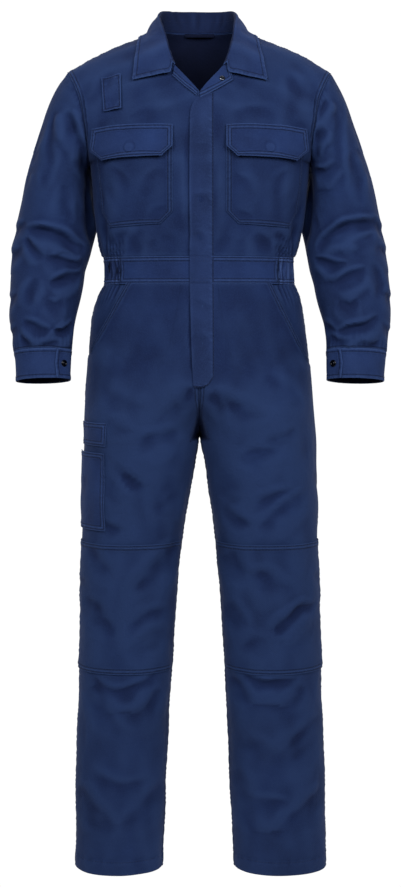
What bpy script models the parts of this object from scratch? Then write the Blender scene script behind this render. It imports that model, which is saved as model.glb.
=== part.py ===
"""Boiler suit, worn open at the neck and filled out: every cloth piece is its own wall, hollow inside.

Metres, +Z up, front at -Y, the wearer's left at +X. The origin is at shoulder height, midway between the
shoulders, where the wearer holds the suit up. Each piece is a grid of points on a section table, given
its cloth thickness inwards.
"""
import math

import bmesh
import bpy
import numpy as np

for old in list(bpy.data.objects):
    bpy.data.objects.remove(old, do_unlink=True)

# ---------------------------------------------------------------- driving dimensions

CLOTH = 0.0016            # one layer of twill with its turned edges
DOUBLE_CLOTH = 0.0020     # collar and lapels: two layers
SEAM = 0.0003             # gap left between two pieces that are sewn together
ON_PANEL = 0.0009         # gap between a panel and what is sewn flat on it

HEM_HEIGHT = -1.523
KNEE_LOW = -1.156
KNEE_HIGH = -0.921
BAND_LOW = -0.4523
BAND_HIGH = -0.4042
UNDERARM = -0.231
SHOULDER_TIP = -0.062
FORK = -0.736             # where the four leg panels meet under the body

SIDE_SIGN = {"left": 1, "right": -1}


def table(columns, rows):
    """Give a short table's columns by name; the first one, sorted upwards, is what it is read by."""
    names = columns.split()
    values = np.array(rows, dtype=float)
    values = values[np.argsort(values[:, 0])]
    return {"key": values[:, 0], **dict(zip(names, values.T))}


def read(sections, column, at):
    """Read a column between its rows: a cubic from row to row, its slope at a row set by the neighbours."""
    key, values = sections["key"], sections[column]
    slopes = np.gradient(values, key)
    at = np.clip(at, key[0], key[-1])
    low = np.clip(np.searchsorted(key, at) - 1, 0, len(key) - 2)
    span = key[low + 1] - key[low]
    part = (at - key[low]) / span
    rise = part * part * (3 - 2 * part)
    ease_out = part * (1 - part) ** 2 * span * slopes[low]
    ease_in = part ** 2 * (part - 1) * span * slopes[low + 1]
    return values[low] * (1 - rise) + values[low + 1] * rise + ease_out + ease_in


def signed_power(value, power):
    """Raise the size of a value to a power and keep its sign."""
    return np.sign(value) * np.abs(value) ** power


def smooth_step(value):
    """Rise from 0 to 1 with flat ends."""
    value = np.clip(value, 0, 1)
    return value * value * (3 - 2 * value)


# ---------------------------------------------------------------- materials

def material(name, colour, roughness, metallic=0.0):
    """One finish: a Principled BSDF with a linear colour, a roughness and a metallic value."""
    finish = bpy.data.materials.new(name)
    finish.use_nodes = True
    shader = finish.node_tree.nodes["Principled BSDF"]
    shader.inputs["Base Color"].default_value = (*colour, 1)
    shader.inputs["Roughness"].default_value = roughness
    shader.inputs["Metallic"].default_value = metallic
    return finish


NAVY = (0.018, 0.036, 0.110)
DARK_NAVY = (0.010, 0.019, 0.052)
BLACK_METAL = (0.012, 0.012, 0.016)
STEEL = (0.30, 0.31, 0.33)


# ---------------------------------------------------------------- cloth walls

def grid_normals(points, closed=False):
    """Unit normals of a grid of points: its slope along the columns crossed with its slope up the rows."""
    if closed:
        across = np.roll(points, -1, axis=1) - np.roll(points, 1, axis=1)
    else:
        across = np.gradient(points, axis=1)
    up = np.gradient(points, axis=0)
    normals = np.cross(across, up)
    return normals / np.maximum(np.linalg.norm(normals, axis=2, keepdims=True), 1e-12)


def flatten(normals, rows, columns, axis):
    """Turn an edge's normals into its seam's plane, so that the two walls sewn there stay apart."""
    edge = normals[rows, columns].copy()
    edge[..., axis] = 0
    normals[rows, columns] = edge / np.linalg.norm(edge, axis=-1, keepdims=True)


def wall(name, outside, normals, finish, thickness=CLOTH, closed=False):
    """Make one closed cloth wall: the outer grid, the same grid moved inwards, and the edges between."""
    rows, columns = outside.shape[:2]
    inside = outside - normals * thickness
    points = np.concatenate([outside.reshape(-1, 3), inside.reshape(-1, 3)])
    index = np.arange(rows * columns).reshape(rows, columns)
    if closed:
        index = np.concatenate([index, index[:, :1]], axis=1)
    deep = index + rows * columns

    def strip(near, far):
        """Quads between two runs of points."""
        return np.stack([near[:-1], near[1:], far[1:], far[:-1]], axis=-1)

    faces = [strip(index[row], index[row + 1]) for row in range(rows - 1)]
    faces += [strip(deep[row + 1], deep[row]) for row in range(rows - 1)]
    faces += [strip(deep[0], index[0]), strip(index[-1], deep[-1])]
    if not closed:
        faces += [strip(index[:, 0], deep[:, 0]), strip(deep[:, -1], index[:, -1])]
    mesh = bpy.data.meshes.new(name)
    mesh.from_pydata(points.tolist(), [], np.concatenate(faces).tolist())
    return place(name, mesh, finish)


def place(name, mesh, finish):
    """Put a finished closed mesh in the scene under its own name, with its own material."""
    mesh.validate()
    mesh.update()
    turned = bpy.data.meshes.new(name)
    work = bmesh_from(mesh)
    work.to_mesh(turned)
    work.free()
    turned.shade_smooth()
    turned.set_sharp_from_angle(angle=math.radians(50))
    turned.materials.append(material(name + "_finish", *finish))
    thing = bpy.data.objects.new(name, turned)
    bpy.context.scene.collection.objects.link(thing)
    return thing


def bmesh_from(mesh):
    """Read a mesh into bmesh with every face pointing out of the solid."""
    work = bmesh.new()
    work.from_mesh(mesh)
    bmesh.ops.recalc_face_normals(work, faces=work.faces)
    return work


# ---------------------------------------------------------------- trunk and leg sections

# A row is one level section. outer and inner are the side seam and the inseam (0 above the fork),
# front and back are the depths from the side seams. square is the superellipse's exponent, 2 an ellipse.
BODY = table(
    "height   outer_right inner_right outer_left inner_left front  back   square", [
        (-1.523, 0.2290, 0.0690, 0.2335, 0.0620, 0.062, 0.062, 2.00),
        (-1.450, 0.2300, 0.0660, 0.2340, 0.0590, 0.064, 0.066, 2.00),
        (-1.300, 0.2275, 0.0600, 0.2305, 0.0530, 0.069, 0.074, 2.05),
        (-1.150, 0.2230, 0.0515, 0.2235, 0.0450, 0.076, 0.078, 2.10),
        (-1.030, 0.2195, 0.0430, 0.2205, 0.0395, 0.081, 0.080, 2.15),
        (-0.925, 0.2180, 0.0325, 0.2185, 0.0290, 0.088, 0.086, 2.20),
        (-0.850, 0.2165, 0.0200, 0.2178, 0.0190, 0.097, 0.096, 2.25),
        (-0.780, 0.2145, 0.0085, 0.2150, 0.0095, 0.106, 0.110, 2.30),
        (-0.736, 0.2125, 0.0005, 0.2130, 0.0005, 0.112, 0.120, 2.30),
        (-0.700, 0.2118, 0.0000, 0.2105, 0.0000, 0.117, 0.128, 2.30),
        (-0.660, 0.2105, 0.0000, 0.2085, 0.0000, 0.120, 0.133, 2.30),
        (-0.610, 0.2075, 0.0000, 0.2045, 0.0000, 0.121, 0.134, 2.30),
        (-0.550, 0.2025, 0.0000, 0.1990, 0.0000, 0.119, 0.130, 2.30),
        (-0.500, 0.1948, 0.0000, 0.1910, 0.0000, 0.115, 0.122, 2.30),
        (-0.475, 0.1865, 0.0000, 0.1840, 0.0000, 0.113, 0.117, 2.30),
        (-0.4523, 0.1770, 0.0000, 0.1740, 0.0000, 0.112, 0.113, 2.30),
        (-0.4366, 0.1752, 0.0000, 0.1720, 0.0000, 0.112, 0.112, 2.30),
        (-0.4042, 0.1778, 0.0000, 0.1735, 0.0000, 0.113, 0.112, 2.30),
        (-0.385, 0.1845, 0.0000, 0.1810, 0.0000, 0.116, 0.115, 2.30),
        (-0.360, 0.1900, 0.0000, 0.1875, 0.0000, 0.120, 0.118, 2.30),
        (-0.320, 0.1955, 0.0000, 0.1945, 0.0000, 0.126, 0.121, 2.30),
        (-0.270, 0.2000, 0.0000, 0.2000, 0.0000, 0.131, 0.123, 2.30),
        (-0.231, 0.2030, 0.0000, 0.2030, 0.0000, 0.133, 0.123, 2.30),
    ])

# Where a section starts: 0 degrees is the middle of the front, -90 the inseam, 90 the side seam.
RISE = table("height start", [
    (FORK, -90),
    (-0.715, -80),
    (-0.690, -62),
    (-0.660, -38),
    (-0.635, -16),
    (-0.610, 0),
])


def body_point(side, angle, height):
    """A point of a leg or of half the trunk at a height, by its angle in degrees: a superellipse.

    x is the section's centre plus its reach times the sine, y its depth times the cosine, both to the
    power 2 / square. The reach is set so that the start angle falls on the inseam or the middle seam.
    """
    power = 2 / read(BODY, "square", height)
    outer = read(BODY, "outer_" + side, height)
    inner = np.maximum(read(BODY, "inner_" + side, height), SEAM / 2)
    start = np.radians(read(RISE, "start", height))
    turn = np.radians(angle)
    reach = (outer - inner) / (1 - signed_power(np.sin(start), power))
    depth = np.where(np.cos(turn) > 0, read(BODY, "front", height), read(BODY, "back", height))
    x = outer - reach + reach * signed_power(np.sin(turn), power)
    y = -depth * signed_power(np.cos(turn), power)
    return np.stack([SIDE_SIGN[side] * x, y, height + 0 * x], axis=-1)


def body_grid(side, face, spread, heights, last=90.0):
    """A panel of a leg or of the trunk: a row of points for each height, spread from seam to seam."""
    start = read(RISE, "start", heights)
    angles = start[:, None] + (last - start)[:, None] * spread[None, :]
    if face == "back":
        angles = 180 - angles
    points = body_point(side, angles, heights[:, None])
    points[..., 1] += SEAM / 2 if face == "back" else -SEAM / 2
    return points


def outward(points, side, face, closed=False):
    """The outward normals of a grid that runs from the middle of the body to its side, bottom up."""
    facing = SIDE_SIGN[side] * (1 if face == "front" else -1)
    return grid_normals(points, closed) * facing


# ---------------------------------------------------------------- legs

HIP_POCKET_TOP = {"right": 0.1300, "left": 0.1275}    # where the slanted mouth leaves the waistband
HIP_POCKET_LOW = {"right": -0.585, "left": -0.600}    # where it ends at the side seam
FACING_SPREAD = np.linspace(0, 1, 4)                  # one more column of it hides behind the mouth
BEHIND_MOUTH = 0.0012                                 # how far the facing lies behind the front leg

LEG_HEIGHTS = np.array([
    HEM_HEIGHT, -1.45, -1.38, -1.31, -1.235, KNEE_LOW, -1.10, -1.04, -0.98, KNEE_HIGH, -0.87, -0.82,
    -0.775, FORK, -0.715, -0.69, -0.66, -0.63, -0.60, -0.58, -0.557, -0.532, -0.507, -0.485, -0.468,
    BAND_LOW - SEAM])
LEG_SPREAD = np.linspace(0, 1, 11)
KNEE_ROWS = slice(5, 10)


def mouth_angle(side, heights):
    """The angle of the hip pocket's slanted mouth at each height, and 90 degrees below its end."""
    top, low = BAND_LOW, HIP_POCKET_LOW[side]
    outer_low = read(BODY, "outer_" + side, low)
    part = np.clip((heights - low) / (top - low), 0, 1)
    across = outer_low + (HIP_POCKET_TOP[side] - outer_low) * part ** 0.9
    share = np.clip(across / read(BODY, "outer_" + side, heights), 0, 1)
    slanted = np.degrees(np.arcsin(share ** (read(BODY, "square", heights) / 2)))
    return np.where(heights > low, slanted, 90.0)


def leg_front(side):
    """Front leg from the waistband to the hem, with the side cut away along the pocket's mouth."""
    points = body_grid(side, "front", LEG_SPREAD, LEG_HEIGHTS, last=mouth_angle(side, LEG_HEIGHTS))
    normals = outward(points, side, "front")
    above = LEG_HEIGHTS > FORK
    below_mouth = LEG_HEIGHTS <= HIP_POCKET_LOW[side]
    flatten(normals, above, 0, 0)
    flatten(normals, ~above, 0, 1)
    flatten(normals, below_mouth, -1, 1)
    flatten(normals, 0, slice(None), 2)
    flatten(normals, -1, slice(None), 2)
    wall("leg_front_" + side, points, normals, (NAVY, 0.85))
    knee = points[KNEE_ROWS, 1:]
    knee_normals = normals[KNEE_ROWS, 1:]
    wall("knee_patch_" + side, knee + knee_normals * (CLOTH + SEAM), knee_normals, (NAVY, 0.85))


def hip_pocket_facing(side):
    """The cloth behind the pocket's mouth, from under the front leg to the side seam."""
    heights = LEG_HEIGHTS[LEG_HEIGHTS > HIP_POCKET_LOW[side] + 0.01]
    mouth = mouth_angle(side, heights)[:, None]
    start = read(RISE, "start", heights)[:, None]
    hidden = mouth + (start - mouth) * (1 - LEG_SPREAD[-2]) / 2
    angles = np.concatenate([hidden, mouth + (90 - mouth) * FACING_SPREAD], axis=1)
    points = body_point(side, angles, heights[:, None])
    points[..., 1] -= SEAM / 2
    normals = outward(points, side, "front")
    flatten(normals, slice(None), -1, 1)
    flatten(normals, -1, slice(None), 2)
    wall("hip_pocket_facing_" + side, points - normals * (CLOTH + BEHIND_MOUTH), normals, (NAVY, 0.85))


def leg_back(side):
    """Back leg from the waistband over the seat to the hem."""
    points = body_grid(side, "back", np.linspace(0, 1, 10), LEG_HEIGHTS)
    normals = outward(points, side, "back")
    above = LEG_HEIGHTS > FORK
    flatten(normals, above, 0, 0)
    flatten(normals, ~above, 0, 1)
    flatten(normals, slice(None), -1, 1)
    flatten(normals, 0, slice(None), 2)
    flatten(normals, -1, slice(None), 2)
    wall("leg_back_" + side, points, normals, (NAVY, 0.85))


# ---------------------------------------------------------------- bodice

# The front edge of a front panel, by level: 0 is the underarm, 1 the shoulder seam. It runs up the
# middle of the front, turns out at the foot of the open neck and follows the neck to the shoulder.
FRONT_EDGE = table("level across forward height", [
    (0.00, 0.000, -0.133, UNDERARM),
    (0.15, 0.000, -0.1315, -0.172),
    (0.30, 0.000, -0.1270, -0.1135),
    (0.42, 0.022, -0.1170, -0.088),
    (0.55, 0.045, -0.1020, -0.062),
    (0.70, 0.060, -0.0750, -0.028),
    (0.85, 0.070, -0.0400, 0.003),
    (1.00, 0.078, 0.0000, 0.020),
])
BACK_EDGE = table("level across forward height", [
    (0.00, 0.000, 0.1230, UNDERARM),
    (0.25, 0.000, 0.1210, -0.172),
    (0.50, 0.000, 0.1140, -0.108),
    (0.75, 0.000, 0.0970, -0.044),
    (1.00, 0.000, 0.0690, 0.0225),
])
EDGES = {"front": FRONT_EDGE, "back": BACK_EDGE}
ARMHOLE_SIDE = table("height side", [
    (UNDERARM, 0.2030),
    (-0.186, 0.2030),
    (-0.152, 0.2080),
    (-0.109, 0.2195),
    (-0.080, 0.2335),
    (SHOULDER_TIP, 0.2430),
])
ARMHOLE_DEPTH = {"front": -0.074, "back": 0.080}
ROUNDNESS = {
    "front": table("level power", [(0, 2.3), (0.3, 1.9), (0.55, 1.5), (0.78, 1.2), (1, 1.0)]),
    "back": table("level power", [(0, 2.3), (0.3, 2.1), (0.55, 1.9), (0.78, 1.6), (1, 1.3)]),
}
NECK_POINT = np.array([0.078, 0.0, 0.020])
SHOULDER_RISE = 0.0060    # the shoulder seam's bow over the straight line from neck to tip
SHOULDER_SKEW = 1.6       # puts the bow's crest nearer the tip
BODICE_COLUMNS = 11
NECK_COLUMNS = 4          # these columns of the back's top edge are neck, the rest is shoulder seam
NECK_SHARE = NECK_COLUMNS / BODICE_COLUMNS


def armhole_point(face, level):
    """The armhole: an ellipse in side view, from the underarm (0) to the shoulder tip (1)."""
    turn = np.pi * level
    middle = (UNDERARM + SHOULDER_TIP) / 2
    height = middle - (SHOULDER_TIP - UNDERARM) / 2 * np.cos(turn)
    return np.stack([read(ARMHOLE_SIDE, "side", height), ARMHOLE_DEPTH[face] * np.sin(turn), height], axis=-1)


def straight_read(sections, column, at):
    """Read a column between its rows in straight lines, so that a corner stays a corner."""
    return np.interp(at, sections["key"], sections[column])


def back_top_edge(along):
    """The back's top edge: a quarter round of the neck, then the shoulder seam straight to its tip."""
    neck = np.clip(along / NECK_SHARE, 0, 1) * np.pi / 2
    middle = np.array([BACK_EDGE[column][-1] for column in ("across", "forward", "height")])
    round_part = np.stack([
        NECK_POINT[0] * np.sin(neck),
        middle[1] * np.cos(neck),
        NECK_POINT[2] + (middle[2] - NECK_POINT[2]) * np.cos(neck)], axis=-1)
    shoulder = np.clip((along - NECK_SHARE) / (1 - NECK_SHARE), 0, 1)[..., None]
    return round_part + (armhole_point("back", 1.0) - NECK_POINT) * shoulder


def bodice_rows(side, face, along, level):
    """A point of a front panel or of half the back, by its share from middle to side and its level.

    Under the underarm it lies on the trunk's sections. Over it, a quarter superellipse joins the front
    or back edge to the armhole, rounder at the chest and straight at the shoulder seam.
    """
    along, level = np.broadcast_arrays(along, level)
    turn = along * 90
    low_height = UNDERARM + np.minimum(level, 0) * (UNDERARM - BAND_HIGH - SEAM)
    low = body_point(side, turn if face == "front" else 180 - turn, low_height)
    low[..., 0] *= SIDE_SIGN[side]
    high = np.clip(level, 0, 1)
    power = 2 / read(ROUNDNESS[face], "power", high)
    out = np.sin(np.radians(turn)) ** power
    off = np.cos(np.radians(turn)) ** power
    start = np.stack([straight_read(EDGES[face], column, high)
                      for column in ("across", "forward", "height")], axis=-1)
    start[..., 0] = np.maximum(start[..., 0], SEAM / 2 if face == "front" else 0)
    stop = armhole_point(face, high)
    upper = np.stack([
        start[..., 0] + (stop[..., 0] - start[..., 0]) * out,
        stop[..., 1] + (start[..., 1] - stop[..., 1]) * off,
        start[..., 2] + (stop[..., 2] - start[..., 2]) * out], axis=-1)
    if face == "back":
        share = smooth_step((high - 0.35) / 0.65)[..., None]
        top_power = 2 / ROUNDNESS["back"]["power"][-1]
        top_out = (np.sin(np.radians(turn)) ** top_power)[..., None]
        top_off = (np.cos(np.radians(turn)) ** top_power)[..., None]
        middle = np.array([BACK_EDGE[column][-1] for column in ("across", "forward", "height")])
        tip = armhole_point("back", 1.0)
        plain = middle + (tip - middle) * np.concatenate([top_out, 1 - top_off, top_out], axis=-1)
        upper = upper + (back_top_edge(along) - plain) * share
    shoulder = np.clip((upper[..., 0] - NECK_POINT[0]) / (armhole_point(face, 1.0)[0] - NECK_POINT[0]), 0, 1)
    bow = np.sin(np.pi * shoulder ** SHOULDER_SKEW)
    upper[..., 2] += SHOULDER_RISE * bow * smooth_step((high - 0.4) / 0.6)
    points = np.where((level > 0)[..., None], upper, low)
    points[..., 0] *= SIDE_SIGN[side]
    points[..., 1] += SEAM / 2 if face == "back" else -SEAM / 2
    return points


BODICE_LEVELS = np.array([
    -1.0, -0.86, -0.70, -0.53, -0.36, -0.18, 0.0, 0.10, 0.20, 0.30, 0.42, 0.55, 0.66, 0.77, 0.88, 1.0])
BODICE_SPREAD = np.linspace(0, 1, BODICE_COLUMNS + 1)


def bodice_front(side):
    """Front panel from the waistband to the shoulder seam, with the open neck and half the armhole."""
    points = bodice_rows(side, "front", BODICE_SPREAD[None, :], BODICE_LEVELS[:, None])
    normals = outward(points, side, "front")
    below = BODICE_LEVELS <= 0
    flatten(normals, below, -1, 1)
    flatten(normals, BODICE_LEVELS <= 0.3, 0, 0)
    flatten(normals, -1, slice(None), 1)
    flatten(normals, 0, slice(None), 2)
    wall("bodice_front_" + side, points, normals, (NAVY, 0.85))


def bodice_back():
    """The back in one piece, from armhole to armhole."""
    half = bodice_rows("left", "back", BODICE_SPREAD[None, :], BODICE_LEVELS[:, None])
    other = bodice_rows("right", "back", BODICE_SPREAD[None, :], BODICE_LEVELS[:, None])
    points = np.concatenate([half[:, ::-1], other[:, 1:]], axis=1)
    normals = grid_normals(points)
    below = BODICE_LEVELS <= 0
    flatten(normals, below, 0, 1)
    flatten(normals, below, -1, 1)
    seam = BODICE_COLUMNS - NECK_COLUMNS + 1
    flatten(normals, -1, slice(0, seam), 1)
    flatten(normals, -1, slice(-seam, None), 1)
    flatten(normals, 0, slice(None), 2)
    wall("bodice_back", points, normals, (NAVY, 0.85))


for half in SIDE_SIGN:
    leg_front(half)
    hip_pocket_facing(half)
    leg_back(half)
    bodice_front(half)
bodice_back()


# ---------------------------------------------------------------- what rests on the bodice

def bodice_cloud():
    """A close grid of points over the whole bodice with its outward normals."""
    spread = np.linspace(0, 1, 60)[None, :]
    levels = np.linspace(-1, 1, 90)[:, None]
    points, normals = [], []
    for side in SIDE_SIGN:
        for face in EDGES:
            grid = bodice_rows(side, face, spread, levels)
            points.append(grid.reshape(-1, 3))
            normals.append(outward(grid, side, face).reshape(-1, 3))
    return np.concatenate(points), np.concatenate(normals)


CLOUD_POINTS, CLOUD_NORMALS = bodice_cloud()


def rest_on_bodice(points, clearance, within):
    """Move the points that lie under the bodice's surface, or too near it, out to the clearance.

    Points further than within from the surface, such as those past its edge, stay.
    """
    flat = points.reshape(-1, 3)
    gaps = flat[:, None, :] - CLOUD_POINTS[None, :, :]
    distance = (gaps ** 2).sum(axis=2)
    nearest = np.argmin(distance, axis=1)
    normals = CLOUD_NORMALS[nearest]
    height = ((flat - CLOUD_POINTS[nearest]) * normals).sum(axis=1)
    lift = np.clip(np.broadcast_to(clearance, points.shape[:-1]).reshape(-1) - height, 0, None)
    lift = lift * (distance.min(axis=1) < within ** 2)
    return (flat + normals * lift[:, None]).reshape(points.shape)


def lay_on_front(side, across, height):
    """Find the point of a front panel that shows at a place of the front view, and its normal.

    Newton steps in the panel's two parameters, from the slopes at each guess.
    """
    along = np.full(across.shape, 0.5)
    level = np.where(height > UNDERARM, 0.3, -0.5)
    step = 1e-4
    for _ in range(30):
        here = bodice_rows(side, "front", along, level)
        by_along = (bodice_rows(side, "front", along + step, level) - here) / step
        by_level = (bodice_rows(side, "front", along, level + step) - here) / step
        miss_across = across - here[..., 0]
        miss_height = height - here[..., 2]
        scale = by_along[..., 0] * by_level[..., 2] - by_along[..., 2] * by_level[..., 0]
        move_along = (miss_across * by_level[..., 2] - miss_height * by_level[..., 0]) / scale
        move_level = (by_along[..., 0] * miss_height - by_along[..., 2] * miss_across) / scale
        along = np.clip(along + np.clip(move_along, -0.1, 0.1), 0.002, 0.996)
        level = np.clip(level + np.clip(move_level, -0.1, 0.1), -0.998, 0.996)
    normals = np.cross(by_along, by_level) * SIDE_SIGN[side]
    return here, normals / np.linalg.norm(normals, axis=-1, keepdims=True)


def patch_rows(corners, steps, columns):
    """Fill a patch between its edges: rows of places from the near edge to the far edge, top to bottom."""
    rows = [corners[0]]
    for above, below, count in zip(corners[:-1], corners[1:], steps):
        parts = np.arange(1, count + 1)[:, None] / count
        rows.extend(np.array(above) + (np.array(below) - np.array(above)) * parts)
    rows = np.array(rows, dtype=float)[::-1]
    spread = np.linspace(0, 1, columns + 1)[None, :]
    across = rows[:, :1] + (rows[:, 2:3] - rows[:, :1]) * spread
    height = rows[:, 1:2] + (rows[:, 3:4] - rows[:, 1:2]) * spread
    return across, height


def chest_patch(name, side, corners, steps, columns, lift, thickness=CLOTH):
    """Sew a patch flat on a front panel. Each corner row holds the near edge's x, z and the far edge's."""
    across, height = patch_rows(corners, steps, columns)
    points, normals = lay_on_front(side, across * SIDE_SIGN[side], height)
    return wall(name, points + normals * (lift + thickness), normals, (NAVY, 0.85), thickness)


CHEST_POCKET = [
    (0.0475, -0.1900, 0.1895, -0.1900),
    (0.0475, -0.3252, 0.1775, -0.3245),
    (0.0690, -0.3458, 0.1590, -0.3505),
]
POCKET_FLAP = [
    (0.0475, -0.1735, 0.1975, -0.1755),
    (0.0480, -0.2090, 0.1965, -0.2107),
    (0.0670, -0.2260, 0.1770, -0.2307),
]
RADIO_LOOP = [
    (0.1390, -0.0810, 0.1755, -0.0840),
    (0.1372, -0.1412, 0.1702, -0.1450),
]
LAPEL = {
    "left": [
        (0.0455, -0.0620, 0.0520, -0.0640),
        (0.0345, -0.0749, 0.0593, -0.0944),
        (0.0186, -0.0926, 0.0400, -0.1055),
        (0.0062, -0.1065, 0.0186, -0.1180),
        (0.0025, -0.1125, 0.0060, -0.1225),
    ],
    "right": [
        (0.0440, -0.0650, 0.0475, -0.0830),
        (0.0245, -0.0873, 0.0260, -0.1040),
        (0.0040, -0.1110, 0.0045, -0.1215),
    ],
}
POCKET_LIFT = 0.0018      # the bodice's facets turn fastest under the pockets' outer edges
LAPEL_LIFT = 0.0012
FLAP_LIFT = POCKET_LIFT + CLOTH + 2 * ON_PANEL

for half in SIDE_SIGN:
    chest_patch("chest_pocket_" + half, half, CHEST_POCKET, (6, 1), 8, POCKET_LIFT)
    chest_patch("pocket_flap_" + half, half, POCKET_FLAP, (2, 1), 8, FLAP_LIFT)
    steps = (1,) * (len(LAPEL[half]) - 1)
    chest_patch("lapel_" + half, half, LAPEL[half], steps, 3, LAPEL_LIFT)
chest_patch("radio_loop", "right", RADIO_LOOP, (3,), 2, ON_PANEL)


# ---------------------------------------------------------------- placket

# The strip over the closure, by height: its left and right edges, narrowing in the fly's round end.
PLACKET = table("height near far", [
    (-0.6365, -0.0100, 0.0060),
    (-0.6310, -0.0112, 0.0170),
    (-0.6180, -0.0118, 0.0262),
    (-0.5600, -0.0128, 0.0260),
    (-0.4500, -0.0145, 0.0255),
    (-0.3000, -0.0155, 0.0250),
    (-0.1600, -0.0155, 0.0247),
    (-0.1290, -0.0120, 0.0247),
])
PLACKET_HEIGHTS = np.array([
    -0.6365, -0.631, -0.618, -0.595, -0.56, -0.52, -0.485, BAND_LOW, BAND_HIGH, -0.37, -0.33, -0.29,
    -0.25, -0.21, -0.18, -0.155, -0.129])


def placket():
    """The placket lies over both fronts, the waistband and the fly: the trunk's section at each height."""
    near = straight_read(PLACKET, "near", PLACKET_HEIGHTS)[:, None]
    far = straight_read(PLACKET, "far", PLACKET_HEIGHTS)[:, None]
    across = near + (far - near) * np.linspace(0, 1, 5)[None, :]
    heights = PLACKET_HEIGHTS[:, None] + 0 * across
    upper = np.interp(heights, FRONT_EDGE["height"], FRONT_EDGE["forward"])
    depth = np.where(heights > UNDERARM, -upper, read(BODY, "front", heights))
    reach = read(BODY, "outer_left", heights)
    square = read(BODY, "square", heights)
    forward = -depth * (1 - np.abs(across / reach) ** square) ** (1 / square)
    points = np.stack([across, forward - PLACKET_LIFT, heights], axis=-1)
    normals = grid_normals(points)
    wall("placket", points, normals, (NAVY, 0.85))


PLACKET_LIFT = CLOTH + 2 * ON_PANEL
placket()


# ---------------------------------------------------------------- waistband

ELASTIC_START = 53.0      # degrees round the waist where the gathered part begins, in front and behind
JOIN = 0.1                # half the gap between two band pieces, in degrees
GATHERS = 18              # gathers in each elastic side
GATHER_DEPTH = 0.0013


def band_piece(name, side, first, last, columns, gathers=0):
    """A stretch of the waistband round one side, between two angles of the trunk's section."""
    heights = np.linspace(BAND_LOW, BAND_HIGH, 3)[:, None]
    spread = np.linspace(0, 1, columns + 1)[None, :]
    points = body_point(side, first + (last - first) * spread + 0 * heights, heights + 0 * spread)
    facing = SIDE_SIGN[side]
    normals = grid_normals(points) * facing
    flatten(normals, 0, slice(None), 2)
    flatten(normals, -1, slice(None), 2)
    if gathers:
        wave = (np.cos(2 * np.pi * gathers * spread) - 1) * GATHER_DEPTH
        points = points + normals * wave[..., None]
    return name, points, normals


def waistband():
    """Plain in front and behind, gathered on elastic at both sides."""
    for side in SIDE_SIGN:
        name, points, normals = band_piece("waistband_front_" + side, side, 0.0, ELASTIC_START - JOIN, 6)
        points[:, 0, 0] = SIDE_SIGN[side] * SEAM / 2
        flatten(normals, slice(None), 0, 0)
        wall(name, points, normals, (NAVY, 0.85))
        start, stop = ELASTIC_START + JOIN, 180 - ELASTIC_START - JOIN
        wall(*band_piece("waist_elastic_" + side, side, start, stop, 4 * GATHERS, GATHERS), (NAVY, 0.85))
    _, left, left_normals = band_piece("", "left", 180 - ELASTIC_START + JOIN, 180.0, 6)
    _, right, right_normals = band_piece("", "right", 180 - ELASTIC_START + JOIN, 180.0, 6)
    points = np.concatenate([left, right[:, -2::-1]], axis=1)
    normals = np.concatenate([left_normals, right_normals[:, -2::-1]], axis=1)
    points[:, 6, 0] = 0
    flatten(normals, slice(None), 6, 0)
    wall("waistband_back", points, normals, (NAVY, 0.85))


waistband()


# ---------------------------------------------------------------- sleeves and cuffs

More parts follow.
